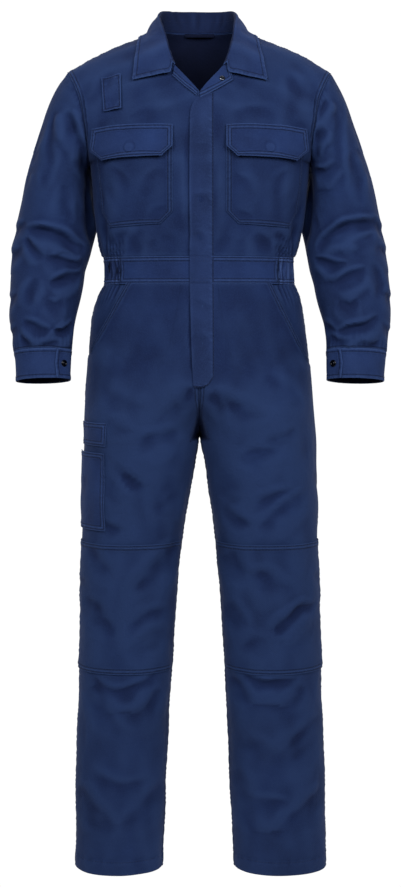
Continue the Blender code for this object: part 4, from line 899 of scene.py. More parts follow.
def knee_patch(side):
    """A patch made from the front leg's own section and folds, moved out by the cloth's thickness."""
    rows = stations(KNEE_LOW, KNEE_HIGH, 0.0044, 0.0014, (KNEE_LOW + 0.004, KNEE_HIGH - 0.004), 0.008)
    columns = stations(*PATCH_SPREAD, 0.023, 0.008, PATCH_SPREAD, 0.04)
    plain = body_grid(side, "front", columns, rows)
    facing = SIDE_SIGN[side]
    plain = plain + grid_normals(plain) * facing * PATCH_LIFT
    points, normals = dressed(plain, facing, LEG_LINES[side], "r", "bt")
    shell("knee_patch_" + side, points, normals, TWILL, "bt")
    return edge_rows(points, normals, "bt")


stitches("knee_stitching", [row for leg in SIDE_SIGN for row in knee_patch(leg)])


# ---------------------------------------------------------------- thigh pockets
# A small tool pocket and a long ruler pocket round the right thigh: twill with its edges turned in, two
# stitch rows along the front, foot and top. The ruler pocket stands a little fuller towards the side.

# Each runs from its front edge (near, at its foot and at its top) to its side edge (far), in degrees round
# the leg, and from low to high; full is how much further out it lies at the side.
THIGH_POCKETS = {
    "tool_pocket_upper": dict(near=(31.0, 31.0), far=76.0, low=-0.743, high=-0.702, full=0.0,
                              flat=(0.068, 0.058)),
    "ruler_pocket": dict(near=(26.5, 32.0), far=88.0, low=-0.896, high=-0.7565, full=0.0015,
                         flat=(0.098, 0.160)),
}


def thigh_pocket(name, near, far, low, high, full, flat):
    """A patch pocket made from the leg's own section, moved out, fuller towards the side."""
    heights = stations(low, high, 0.0040, 0.0013, (low + 0.004, high - 0.004), 0.007)[:, None]
    leaning = np.interp(heights, (low, high), near)
    angles = leaning + (far - leaning) * stations(0, 1, 0.042, 0.014, (0, 1), 0.08)[None, :]
    plain = body_point("right", angles + 0 * heights, heights + 0 * angles)
    facing = SIDE_SIGN["right"]
    fullness = full * smooth_step((angles - leaning) / (far - leaning)) * smooth_step((heights - low) / 0.06)
    plain = plain + grid_normals(plain) * facing * (CLOTH + 0.0014 + fullness)[..., None]
    points, normals = dressed(plain, facing, LEG_LINES["right"], "", "lbt")
    shell(name, points, normals, PAINTED_LIGHT_TWILL,
          "lbt")
    return edge_rows(points, normals, "lbt")


stitches("thigh_pocket_stitching", [row for name, pocket in THIGH_POCKETS.items()
                                    for row in thigh_pocket(name, **pocket)])


# ---------------------------------------------------------------- waistband
# A doubled band between bodice and legs, plain in front and behind and gathered on 40 mm elastic at both
# sides, with two stitch rows along each edge.

BAND_HIGH = -0.4042       # the seam between the waistband and the bodice
ELASTIC_START = 53.0      # degrees round the waist where the gathered part begins, in front and behind
JOIN = 0.1                # half the gap between two band pieces, in degrees
GATHERS = 17              # gathers in each elastic side
# the elastic's copy of the twill: paler face and crests, darker troughs than the rest, painted light and shade
# on the gathers
PAINTED_GATHERED_TWILL = twill("navy twill, gathered, painted light and shade", face="#2D447C", deep="#141F42", worn="#4C659E")


def band_piece(side, first, last, step):
    """A stretch of the waistband round one side, between two angles of the trunk's section."""
    heights = stations(BAND_LOW, BAND_HIGH, 0.0032, 0.0014, (BAND_LOW + 0.003, BAND_HIGH - 0.003), 0.007)
    angles = np.linspace(first, last, int(abs(last - first) / step) + 1)[None, :]
    return body_point(side, angles + 0 * heights[:, None], heights[:, None] + 0 * angles)


def pulled_in(plain, facing):
    """Gather a stretch of the band on its elastic: rounded pleats between sharp creases, flat at the edges.

    Each pleat is a cosine's size to the power 0.6; the pleats wander and are up to a half less deep.
    """
    run = edge_run(plain, "b")[1]
    share = run / run.max()
    height = plain[..., 2] - (BAND_LOW + BAND_HIGH) / 2
    wander = 0.3 * np.sin(height * 190 + share * 23) + 0.6 * np.sin(share * 31)
    gathers = 2 * np.abs(np.cos(np.pi * GATHERS * share + wander)) ** 0.6 - 1.5
    swell = np.sqrt(np.clip(1 - (height / 0.0235) ** 2, 0.08, 1))
    strength = 0.0050 * (0.75 + 0.25 * np.sin(share * 40 + 1)) * swell
    return plain + (grid_normals(plain) * facing) * (strength * gathers - 0.0006)[..., None]


def band_part(node, plain, facing, ends="", finish=PAINTED_LIGHT_TWILL):
    """One part of the band with its folded edges and its seams at the ends; returns its stitch rows."""
    points, normals = dressed(plain, facing, [], ends, "bt")
    shell(node, points, normals, finish, ends + "bt")
    return edge_rows(points, normals, "bt")


waist_sewing = []
for hip in SIDE_SIGN:
    waist_sewing += band_part("waistband_front_" + hip, band_piece(hip, 0.0, ELASTIC_START - JOIN, 1.0),
                              SIDE_SIGN[hip], "r")
    stretch = band_piece(hip, ELASTIC_START + JOIN, 180 - ELASTIC_START - JOIN, 0.42)
    waist_sewing += band_part("waist_elastic_" + hip, pulled_in(stretch, SIDE_SIGN[hip]), SIDE_SIGN[hip],
                              finish=PAINTED_GATHERED_TWILL)
left_half, right_half = (band_piece(hip, 180 - ELASTIC_START + JOIN, 180.0, 1.0) for hip in ("left", "right"))
waist_sewing += band_part("waistband_back", np.concatenate([left_half, right_half[:, -2::-1]], axis=1),
                          1, "lr")
stitches("waist_stitching", waist_sewing)


# ---------------------------------------------------------------- bodice
# Two fronts and a one-piece back from the waistband to the shoulder seams, bloused a little over the
# elastic. The armholes are felled towards the body, with two stitch rows.

UNDERARM = -0.231
SHOULDER_TIP = -0.062

# The front edge of a front panel, by level: 0 is the underarm, 1 the shoulder seam. It runs up the
# middle of the front, turns out at the foot of the open neck and follows the neck to the shoulder.
FRONT_EDGE = table("level across forward height", [
    (0.00, 0.000, -0.133, UNDERARM),
    (0.15, 0.000, -0.1315, -0.172),
    (0.30, 0.000, -0.1270, -0.1135),
    (0.42, 0.022, -0.1170, -0.088),
    (0.55, 0.045, -0.1020, -0.062),
    (0.70, 0.060, -0.0750, -0.028),
    (0.85, 0.070, -0.0400, 0.003),
    (1.00, 0.078, 0.0000, 0.020),
])
BACK_EDGE = table("level across forward height", [
    (0.00, 0.000, 0.1230, UNDERARM),
    (0.25, 0.000, 0.1210, -0.172),
    (0.50, 0.000, 0.1140, -0.108),
    (0.75, 0.000, 0.0970, -0.044),
    (1.00, 0.000, 0.0690, 0.0225),
])
EDGES = {"front": FRONT_EDGE, "back": BACK_EDGE}
ARMHOLE_SIDE = table("height side", [
    (UNDERARM, 0.2030),
    (-0.186, 0.2030),
    (-0.152, 0.2080),
    (-0.109, 0.2195),
    (-0.080, 0.2335),
    (SHOULDER_TIP, 0.2430),
])
ARMHOLE_DEPTH = {"front": -0.074, "back": 0.080}
ROUNDNESS = {
    "front": table("level power", [(0, 2.3), (0.3, 1.9), (0.55, 1.5), (0.78, 1.2), (1, 1.0)]),
    "back": table("level power", [(0, 2.3), (0.3, 2.1), (0.55, 1.9), (0.78, 1.6), (1, 1.3)]),
}
NECK_POINT = np.array([0.078, 0.0, 0.020])            # where the shoulder seam meets the collar
NAPE = np.array([BACK_EDGE[column][-1] for column in ("across", "forward", "height")])
SHOULDER_RISE = 0.0060    # the shoulder seam's bow over the straight line from neck to tip
SHOULDER_SKEW = 1.6       # puts the bow's crest nearer the tip
NECK_SHARE = 4 / 11       # this share of the back's top edge is neck, the rest is shoulder seam


def armhole_point(face, level):
    """The armhole: an ellipse in side view, from the underarm (0) to the shoulder tip (1)."""
    turn = np.pi * level
    middle = (UNDERARM + SHOULDER_TIP) / 2
    height = middle - (SHOULDER_TIP - UNDERARM) / 2 * np.cos(turn)
    return np.stack([read(ARMHOLE_SIDE, "side", height), ARMHOLE_DEPTH[face] * np.sin(turn), height], axis=-1)


def straight_read(sections, column, at):
    """Read a column between its rows in straight lines, so that a corner stays a corner."""
    return np.interp(at, sections["key"], sections[column])


def back_top_edge(along):
    """The back's top edge: a quarter round of the neck, then the shoulder seam straight to its tip."""
    neck = np.clip(along / NECK_SHARE, 0, 1) * np.pi / 2
    round_part = np.stack([
        NECK_POINT[0] * np.sin(neck),
        NAPE[1] * np.cos(neck),
        NECK_POINT[2] + (NAPE[2] - NECK_POINT[2]) * np.cos(neck)], axis=-1)
    shoulder = np.clip((along - NECK_SHARE) / (1 - NECK_SHARE), 0, 1)[..., None]
    return round_part + (armhole_point("back", 1.0) - NECK_POINT) * shoulder


def bodice_rows(side, face, along, level):
    """A point of a front panel or of half the back, by its share from middle to side and its level.

    Under the underarm it lies on the trunk's sections. Over it, a quarter superellipse joins the front
    or back edge to the armhole, rounder at the chest and straight at the shoulder seam.
    """
    along, level = np.broadcast_arrays(along, level)
    turn = along * 90
    low_height = UNDERARM + np.minimum(level, 0) * (UNDERARM - BAND_HIGH - SEAM)
    low = body_point(side, turn if face == "front" else 180 - turn, low_height)
    low[..., 0] *= SIDE_SIGN[side]
    high = np.clip(level, 0, 1)
    power = 2 / read(ROUNDNESS[face], "power", high)
    out = np.sin(np.radians(turn)) ** power
    off = np.cos(np.radians(turn)) ** power
    start = np.stack([straight_read(EDGES[face], column, high)
                      for column in ("across", "forward", "height")], axis=-1)
    start[..., 0] = np.maximum(start[..., 0], SEAM / 2 if face == "front" else 0)
    stop = armhole_point(face, high)
    upper = np.stack([
        start[..., 0] + (stop[..., 0] - start[..., 0]) * out,
        stop[..., 1] + (start[..., 1] - stop[..., 1]) * off,
        start[..., 2] + (stop[..., 2] - start[..., 2]) * out], axis=-1)
    if face == "back":
        share = smooth_step((high - 0.35) / 0.65)[..., None]
        top_power = 2 / ROUNDNESS["back"]["power"][-1]
        top_out = (np.sin(np.radians(turn)) ** top_power)[..., None]
        top_off = (np.cos(np.radians(turn)) ** top_power)[..., None]
        tip = armhole_point("back", 1.0)
        plain = NAPE + (tip - NAPE) * np.concatenate([top_out, 1 - top_off, top_out], axis=-1)
        upper = upper + (back_top_edge(along) - plain) * share
    shoulder = np.clip((upper[..., 0] - NECK_POINT[0]) / (armhole_point(face, 1.0)[0] - NECK_POINT[0]), 0, 1)
    bow = np.sin(np.pi * shoulder ** SHOULDER_SKEW)
    upper[..., 2] += SHOULDER_RISE * bow * smooth_step((high - 0.4) / 0.6)
    points = np.where((level > 0)[..., None], upper, low)
    points[..., 0] *= SIDE_SIGN[side]
    points[..., 1] += SEAM / 2 if face == "back" else -SEAM / 2
    return points


BODICE_FOLDS = {
    "front": [
        (2.6, 2.4, 0, 0.5, -20, -144, -21, -218, -21, -306, -20, -415),
        (15, 3.4, 0.35, 0.5, -133, -406, -119, -383, -100, -360),
        (15, 3.4, 0.35, 0.5, 130, -406, 117, -385, 100, -362),
        (16, 3, 0.35, 0.5, -164, -386, -144, -369, -116, -362),
        (16, 3, 0.35, 0.5, 164, -386, 144, -371, 118, -363),
        (12, 1.4, 0.3, 0.6, -87, -406, -86, -390, -78, -373),
        (12, 1.4, 0.3, 0.6, 82, -406, 78, -392, 71, -374),
        (14, 1, 0.2, 0.5, -45, -404, -48, -383, -59, -362),
        (14, 1, 0.2, 0.5, 40, -404, 43, -387, 52, -366),
        (14, 2.4, 0.3, 0.5, -181, -287, -171, -332, -174, -376),
        (14, 2.4, 0.3, 0.5, 183, -284, 172, -330, 174, -376),
        (18, 2.4, 0.25, 0.5, -185, -217, -176, -164, -158, -119),
        (18, 2.4, 0.25, 0.5, 187, -217, 178, -164, 162, -121),
        (15, 1.6, 0.25, 0.5, -126, -160, -88, -149, -42, -149),
        (15, 1.6, 0.25, 0.5, 57, -157, 98, -149, 142, -158),
        (13, 1.8, 0.3, 0.5, -204, -125, -183, -111, -155, -68),
        (13, 1.8, 0.3, 0.5, 206, -125, 185, -111, 160, -72),
        (9, -1.4, 0, 0.5, -33, -182, -31, -270, -29, -376),
        (9, -1.4, 0, 0.5, 38, -235, 38, -306, 36, -394),
        (10, 2, 0.3, 0.5, -149, -408, -146, -394, -137, -376),
        (10, 2, 0.3, 0.5, 148, -408, 144, -394, 135, -378),
    ],
    "back": [
        (16, 3.4, 0.3, 0.5, -150, -395, -138, -350, -120, -310),
        (16, 3.4, 0.3, 0.5, 148, -395, 134, -352, 118, -306),
        (14, 3, 0.3, 0.5, -95, -398, -88, -362, -92, -320),
        (14, 3, 0.3, 0.5, 100, -398, 90, -360, 88, -318),
        (14, 2.6, 0.3, 0.5, -30, -398, -36, -360, -30, -325),
        (14, 2.6, 0.3, 0.5, 38, -398, 32, -362, 38, -322),
        (22, 3.4, 0.25, 0.5, -165, -230, -120, -210, -60, -205),
        (22, 3.4, 0.25, 0.5, 168, -236, 118, -212, 62, -206),
        (20, 3, 0.25, 0.5, -185, -150, -150, -180, -110, -250),
        (20, 3, 0.25, 0.5, 186, -150, 152, -184, 112, -252),
        (18, 2.6, 0.25, 0.5, -70, -60, -30, -90, 30, -92),
        (18, 2.4, 0.25, 0.5, 150, -90, 90, -110, 50, -150),
        (18, 2.4, 0.25, 0.5, -150, -90, -92, -112, -50, -150),
    ],
    "right": [
        (14, 3, 0.3, 0.5, -70, -390, -60, -350, -50, -300),
        (14, 3, 0.3, 0.5, 20, -396, 14, -352, 20, -300),
        (14, 2.8, 0.3, 0.5, 75, -390, 66, -350, 50, -300),
    ],
    "left": [
        (14, 3, 0.3, 0.5, -66, -390, -56, -352, -50, -300),
        (14, 3, 0.3, 0.5, 24, -396, 16, -350, 20, -306),
        (14, 2.8, 0.3, 0.5, 78, -390, 68, -352, 54, -300),
    ],
}


def bodice_cloud():
    """A close grid of points over the whole bodice with its outward normals."""
    spread = np.linspace(0, 1, 60)[None, :]
    levels = np.linspace(-1, 1, 90)[:, None]
    points, normals = [], []
    for side in SIDE_SIGN:
        for face in EDGES:
            grid = bodice_rows(side, face, spread, levels)
            points.append(grid.reshape(-1, 3))
            normals.append(outward(grid, side, face).reshape(-1, 3))
    return np.concatenate(points), np.concatenate(normals)


CLOUD_POINTS, CLOUD_NORMALS = bodice_cloud()
BODICE_LINES = fold_lines(BODICE_FOLDS, CLOUD_POINTS, CLOUD_NORMALS)
BAND_TUCK = TUCK / (UNDERARM - BAND_HIGH)             # in levels
BODICE_LEVELS = np.concatenate([stations(-1 - BAND_TUCK, 0, 0.026, 0.009, (-1,), 0.05)[:-1],
                                stations(0, 1, 0.020, 0.010, (1,), 0.05)])
BODICE_COLUMNS = stations(0, 1, 0.021, 0.009, (0, 1), 0.05)
ARMHOLE_START = float(np.mean(BODICE_LEVELS < 0))     # the share of the levels under the armhole


def bodice_seams(plain, letters):
    """What a panel's edges add: tuck and gathers at the band, plain side seams, felled armholes."""
    level = BODICE_LEVELS[:, None]
    lift = banded(plain, (level + 1) * (UNDERARM - BAND_HIGH), "b")
    armhole = smooth_step(level / 0.04)
    for letter in letters:
        distance, run = edge_run(plain, letter)
        lift = lift + armhole * turned_edge(distance, run) + (1 - armhole) * plain_seam(distance, run)
    return lift


def bodice_front(side):
    """Front panel from the waistband to the shoulder seam, with the open neck and half the armhole."""
    plain = bodice_rows(side, "front", BODICE_COLUMNS[None, :], BODICE_LEVELS[:, None])
    facing = SIDE_SIGN[side]
    points, normals = dressed(plain, facing, BODICE_LINES, "t", extra=bodice_seams(plain, "r"))
    shell("bodice_front_" + side, points, normals, TWILL,
          "rt")
    return [*edge_rows(points, normals, "r", TOPSTITCH, ARMHOLE_START, 1),
            *edge_rows(points, normals, "t", (0.0030,))]


def relaxed(grid, times):
    """Even out a grid: over and over, each point moves to its four neighbours' mean.

    It goes all the way where it lies 60 mm from the grid's edges, and stays where that is 15 mm or less.
    """
    inside = np.min([edge_run(grid, letter)[0] for letter in "lrbt"], axis=0)
    share = smooth_step((inside - 0.015) / 0.045)[1:-1, 1:-1, None]
    grid = grid.copy()
    for _ in range(times):
        mean = (grid[2:, 1:-1] + grid[:-2, 1:-1] + grid[1:-1, 2:] + grid[1:-1, :-2]) / 4
        grid[1:-1, 1:-1] += (mean - grid[1:-1, 1:-1]) * share
    return grid


def bodice_back():
    """The back in one piece, from armhole to armhole, with its hollows over the shoulder blades evened out."""
    half, other = (bodice_rows(side, "back", BODICE_COLUMNS[None, :], BODICE_LEVELS[:, None])
                   for side in ("left", "right"))
    plain = relaxed(np.concatenate([half[:, ::-1], other[:, 1:]], axis=1), 60)
    points, normals = dressed(plain, 1, BODICE_LINES, "t", extra=bodice_seams(plain, "lr"))
    shell("bodice_back", points, normals, TWILL, "lrt")
    return edge_rows(points, normals, "lr", TOPSTITCH, ARMHOLE_START, 1)


stitches("bodice_stitching", [*bodice_front("left"), *bodice_front("right"), *bodice_back()])


# ---------------------------------------------------------------- placket
# A doubled strip over the front's hidden snaps, from the open neck over the waistband to the round end of
# the fly. Its free edge is on the wearer's right. The other has one stitch row and the fly's end has two,
# and the waistband's four rows run on over it.

PLACKET = table("height near far", [
    (-0.6365, -0.0100, 0.0060),
    (-0.6310, -0.0112, 0.0170),
    (-0.6180, -0.0118, 0.0262),
    (-0.5600, -0.0140, 0.0260),
    (-0.4500, -0.0171, 0.0255),
    (-0.3000, -0.0177, 0.0250),
    (-0.1600, -0.0168, 0.0247),
    (-0.1480, -0.0160, 0.0247),
    (-0.1380, -0.0130, 0.0247),
    (-0.1310, -0.0088, 0.0247),
    (-0.1265, -0.0035, 0.0247),
    (-0.1235, 0.0030, 0.0247),
    (-0.1200, 0.0105, 0.0247),
    (-0.1165, 0.0190, 0.0247),
])
PLACKET_EDGE, FLY_ROW = 0.0016, 0.0065      # how far its stitch rows are from the edges
PLACKET_FOLDS = {
    "front": [
        (12, 1.6, 0.3, 0.5, -14, -300, 2, -306, 20, -318),
        (10, 1.4, 0.3, 0.5, -14, -360, 0, -372, 8, -392),
        (10, 1.2, 0.3, 0.5, -13, -480, 2, -492, 22, -500),
        (12, 1.6, 0.3, 0.5, -12, -540, 4, -552, 22, -556),
        (9, 1.2, 0.3, 0.5, -14, -205, 4, -212, 22, -208),
    ],
}


def placket():
    """The trunk's own section at each height, from the strip's near edge to its far one."""
    low_end, top_end = PLACKET["height"][[0, -1]]
    heights = stations(low_end, top_end, 0.0040, 0.0013, (low_end, BAND_LOW, BAND_HIGH, -0.1240), 0.012)
    heights = heights[:, None]
    near = straight_read(PLACKET, "near", heights)
    far = straight_read(PLACKET, "far", heights)
    across = near + (far - near) * stations(0, 1, 0.09, 0.030, (0.04, 0.96), 0.18)[None, :]
    upper = np.interp(heights, FRONT_EDGE["height"], FRONT_EDGE["forward"])
    depth = np.where(heights > UNDERARM, -upper, read(BODY, "front", heights))
    reach = read(BODY, "outer_left", heights)
    square = read(BODY, "square", heights)
    forward = -depth * (1 - np.abs(across / reach) ** square) ** (1 / square)
    plain = np.stack([across, forward - CLOTH - 0.0005, heights + 0 * across], axis=-1)
    lines = fold_lines(PLACKET_FOLDS, plain, grid_normals(plain))
    free, run = edge_run(plain, "l")
    sewn, low = edge_run(plain, "r")[0], edge_run(plain, "b")[0]
    height = plain[..., 2]
    proud = 0.0036 * bell(free, 0, 0.007) * (0.8 + 0.2 * np.sin(run * 22)) * smooth_step(low / 0.05)
    proud = proud - 0.0012 * np.maximum(bell(sewn, 0, 0.0030), bell(low, 0, 0.0030))
    proud = proud - 0.0009 * bell(low, FLY_ROW, 0.0012)
    proud = proud - 0.0010 * bell(height, BAND_LOW, 0.0014) - 0.0007 * bell(height, BAND_HIGH, 0.0014)
    points, normals = dressed(plain, 1, [*BODICE_LINES, *LEG_LINES["left"], *lines], extra=proud)
    # a lighter copy of the twill: painted light on the raised strip
    finish = twill("navy twill, placket", rows=(0.0014,), edge_wear_and_highlight=0.0, face="#283B6B", deep="#1D2C53",
                   worn="#3A5286")
    shell("placket", points, normals, finish, "rb")
    rows = edge_rows(points, normals, "rb", (PLACKET_EDGE,)) + edge_rows(points, normals, "b", (FLY_ROW,))
    strips = np.concatenate([points, normals], axis=2).transpose(1, 0, 2)
    inner, outer = TOPSTITCH
    for level in (BAND_LOW + inner, BAND_LOW + outer, BAND_HIGH - outer, BAND_HIGH - inner):
        rows.append(np.array([[np.interp(level, strip[:, 2], values) for values in strip.T]
                              for strip in strips]))
    stitches("placket_stitching", rows)


placket()


# ---------------------------------------------------------------- chest pockets
# Patch bags with chamfered lower corners under double flaps, sewn with two rows, and a radio loop on the
# right breast. Each flap closes on a hidden snap that presses through as a round bump.

# A patch's outline, from its top down on one side of the middle: near edge and far edge, each as x, z.
CHEST_POCKET = [
    (0.0475, -0.1900, 0.1895, -0.1900),
    (0.0475, -0.3252, 0.1775, -0.3245),
    (0.0690, -0.3458, 0.1590, -0.3505),
]
POCKET_FLAP = [
    (0.0475, -0.1735, 0.1900, -0.1755),
    (0.0470, -0.2110, 0.1890, -0.2107),
    (0.0650, -0.2285, 0.1660, -0.2280),
]
FLAP_ARCH = 0.0035        # its top edge bows up by this
RADIO_LOOP = [
    (0.1390, -0.0810, 0.1755, -0.0840),
    (0.1372, -0.1412, 0.1702, -0.1450),
]
FLAP_SNAP = (0.1215, -0.2112)
FLAP_SNAP_RADIUS = 0.0084
LOOP_ROW = 0.0032
POCKET_FOLDS = {
    "right": {
        "front": [
            (9, 1.6, 0.3, 0.5, -186, -262, -176, -290, -172, -318),
            (12, 1.6, 0.3, 0.5, -60, -252, -82, -268, -100, -300),
            (12, 1.4, 0.3, 0.5, -164, -246, -140, -262, -128, -292),
            (10, 1.4, 0.3, 0.5, -58, -318, -74, -326, -90, -342),
        ],
    },
    "left": {
        "front": [
            (9, 1.6, 0.3, 0.5, 186, -258, 177, -286, 173, -316),
            (12, 1.6, 0.3, 0.5, 58, -256, 80, -274, 96, -304),
            (12, 1.4, 0.3, 0.5, 166, -250, 142, -264, 130, -296),
            (10, 1.4, 0.3, 0.5, 60, -322, 76, -328, 94, -342),
        ],
    },
}


def lay_on_front(side, across, height):
    """Find the point of a front panel that shows at a place of the front view, and its normal.

    Newton steps in the panel's two parameters, from the slopes at each guess.
    """
    along = np.full(across.shape, 0.5)
    level = np.where(height > UNDERARM, 0.3, -0.5)
    step = 1e-4
    for _ in range(30):
        here = bodice_rows(side, "front", along, level)
        by_along = (bodice_rows(side, "front", along + step, level) - here) / step
        by_level = (bodice_rows(side, "front", along, level + step) - here) / step
        miss_across, miss_height = across - here[..., 0], height - here[..., 2]
        scale = by_along[..., 0] * by_level[..., 2] - by_along[..., 2] * by_level[..., 0]
        move_along = (miss_across * by_level[..., 2] - miss_height * by_level[..., 0]) / scale
        move_level = (by_along[..., 0] * miss_height - by_along[..., 2] * miss_across) / scale
        along = np.clip(along + np.clip(move_along, -0.1, 0.1), 0.002, 0.996)
        level = np.clip(level + np.clip(move_level, -0.1, 0.1), -0.998, 0.996)
    normals = np.cross(by_along, by_level) * SIDE_SIGN[side]
    return here, normals / np.linalg.norm(normals, axis=-1, keepdims=True)


def patch_grid(side, corners, step, columns, arch=0.0):
    """A patch between its edges, bottom up, from the near edge to the far one, laid on the front."""
    corners = np.array(corners)
    run = np.concatenate([[0], np.cumsum(np.linalg.norm(np.diff(corners[:, :2], axis=0), axis=1))])
    at = run[-1] - stations(0, run[-1], step, step * 0.32, (0.004, run[-1] - 0.003), 0.009)
    rows = np.stack([np.interp(at, run, column) for column in corners.T], axis=-1)
    spread = columns[None, :]
    across = rows[:, :1] + (rows[:, 2:3] - rows[:, :1]) * spread
    height = rows[:, 1:2] + (rows[:, 3:4] - rows[:, 1:2]) * spread
    height = height + arch * 4 * spread * (1 - spread) * (1 - at[:, None] / run[-1]) ** 2
    return lay_on_front(side, across * SIDE_SIGN[side], height)


def patch(node, side, corners, step, columns, lift, edges, lines=(), thickness=CLOTH,
          form=None, arch=0.0, gaps=TOPSTITCH, finish=TWILL):
    """A patch lifted off its panel, with the panel's folds and its own.

    form gives its own height, gaps set its stitch rows, which are returned.
    """
    plain, normals = patch_grid(side, corners, step, columns, arch)
    raised = lift + (form(plain) if form else 0)
    plain = plain + normals * np.broadcast_to(raised, plain.shape[:2])[..., None]
    points, normals = dressed(plain, SIDE_SIGN[side], [*BODICE_LINES, *lines], "", edges, gaps=gaps)
    shell(node, points, normals, finish,
          edges, thickness=thickness)
    return edge_rows(points, normals, edges, gaps)


def bag_form(plain):
    """A bag is 3 mm fuller in its middle than along its sewn edges."""
    low, high = plain[..., 2].min(), plain[..., 2].max()
    part = (plain[..., 2] - low) / (high - low)
    inward = smooth_step(np.minimum(*edge_distance(plain, True)) / 0.05)
    return 0.0030 * inward * smooth_step(part / 0.5)


def flap_form(plain):
    """A flap stands off 8.4 mm at its lower edge, with the snap's round bump pressed through."""
    top = plain[..., 2].max()
    off = 0.0084 * smooth_step((top - plain[..., 2]) / 0.060)
    away = np.hypot(np.abs(plain[..., 0]) - FLAP_SNAP[0], plain[..., 2] - FLAP_SNAP[1])
    bump = 0.0008 * (1 - smooth_step((away - FLAP_SNAP_RADIUS + 0.0016) / 0.0022))
    return off + bump - 0.0011 * bell(away, FLAP_SNAP_RADIUS + 0.0010, 0.0014)


def loop_form(plain):
    """The radio loop stands off 3.5 mm along the edge nearer the middle."""
    return 0.0035 * smooth_step((0.1700 - np.abs(plain[..., 0])) / 0.030)


def chest_pockets():
    """The bags first, then the flaps over them, then the radio loop."""
    rows = []
    columns = stations(0, 1, 0.029, 0.0095, (0.02, 0.98), 0.06)
    fine_columns = stations(0, 1, 0.0125, 0.0080, (0.02, 0.98), 0.06)
    # a lighter copy of the twill: painted light on the radio loop
    single = twill("navy twill, one stitch row", rows=(LOOP_ROW,), face="#25396C", deep="#1A2A53",
                   worn="#3A5286")
    for side in SIDE_SIGN:
        lines = fold_lines(POCKET_FOLDS[side], CLOUD_POINTS, CLOUD_NORMALS)
        rows += patch("chest_pocket_" + side, side, CHEST_POCKET, 0.0040, columns, CLOTH + 0.0006,
                      "lrb", lines, form=bag_form)
        rows += patch("pocket_flap_" + side, side, POCKET_FLAP, 0.0020, fine_columns, 2 * CLOTH + 0.0030,
                      "lrbt", lines, thickness=0.0020,
                      form=flap_form, arch=FLAP_ARCH, finish=PAINTED_LIGHT_TWILL)
    rows += patch("radio_loop", "right", RADIO_LOOP, 0.0030, stations(0, 1, 0.09, 0.035, (0.05, 0.95), 0.1),
                  CLOTH + 0.0020, "lrtb", form=loop_form,
                  gaps=(LOOP_ROW,), finish=single)
    stitches("pocket_stitching", rows)


chest_pockets()


# ---------------------------------------------------------------- lapels, collar and hanger loop
# The facings turned out under the open neck, then the one-piece collar in two layers: its stand, the roll
# and the fall, edge-stitched all round. A short tape is sewn inside the back of the neck.

LAPEL = {
    "left": [
        (0.0455, -0.0600, 0.0520, -0.0640),
        (0.0345, -0.0749, 0.0587, -0.0915),
        (0.0186, -0.0926, 0.0340, -0.1070),
        (0.0062, -0.1065, 0.0130, -0.1190),
        (0.0005, -0.1130, 0.0010, -0.1240),
    ],
    "right": [
        (0.0440, -0.0650, 0.0475, -0.0830),
        (0.0245, -0.0873, 0.0260, -0.1040),
        (0.0040, -0.1110, 0.0045, -0.1215),
    ],
}
# Half the collar by station, from the middle of the back (0) to its front end (1): the fold line, the
# leaf's outer edge and the neck seam.
COLLAR = table("station fold_x fold_y fold_z edge_left edge_right edge_y edge_z seam_x seam_y seam_z", [
    (0.00, 0.0000, 0.080, 0.0680, 0.0000, 0.0000, 0.104, 0.0120, 0.0000, 0.0680, 0.0240),
    (0.20, 0.0400, 0.070, 0.0665, 0.0550, 0.0550, 0.094, 0.0100, 0.0420, 0.0590, 0.0235),
    (0.40, 0.0665, 0.040, 0.0610, 0.0930, 0.0950, 0.055, 0.0040, 0.0710, 0.0280, 0.0225),
    (0.55, 0.0715, 0.008, 0.0470, 0.1000, 0.1045, 0.010, -0.0030, 0.0775, 0.0000, 0.0205),
    (0.70, 0.0665, -0.036, 0.0200, 0.1050, 0.1105, -0.034, -0.0220, 0.0740, -0.0300, 0.0090),
    (0.85, 0.0575, -0.079, -0.0220, 0.1105, 0.1128, -0.068, -0.0550, 0.0650, -0.0700, -0.0225),
    (1.00, 0.0466, -0.112, -0.0595, 0.1185, 0.1165, -0.095, -0.0922, 0.0520, -0.1010, -0.0600),
])
LEAF_BULGE = 0.0050       # how far the leaf bows out between its fold and its edge, over the shoulder
LEAF_DROP = 0.0135        # the leaf's front end runs down this far before its lower edge turns outwards
FOLD_RADIUS = 0.0032
# How far each row of the collar lies over the bodice, from the neck seam to the leaf's edge.
COLLAR_CLEARANCE = [0.0020, 0.0022, 0.0030, 0.0056, 0.0066, 0.0064, 0.0058, 0.0050, 0.0042, 0.0038]
OVER_LAPEL = 0.0026       # how much further the front ends lie, over the lapels
COLLAR_LEAN = 0.0036      # the standing back of the collar leans this far to the wearer's right
COLLAR_CLOTH = 0.0020
COLLAR_FOLDS = {
    "front": [
        (5, 1.6, 0.4, 0.5, -50, 67, -42, 50, -32, 30),
        (5, 1.4, 0.4, 0.5, -25, 63, -24, 46, -22, 27),
        (5, 1.3, 0.4, 0.5, -6, 63, -5, 48, -5, 30),
        (5, 1.4, 0.4, 0.5, 24, 63, 24, 46, 22, 27),
        (5, 1.6, 0.4, 0.5, 44, 66, 38, 50, 30, 30),
    ],
}
COLLAR_ROW = 0.0070       # the edge's one stitch row
STAND_ROWS = (0.0026, 0.022)


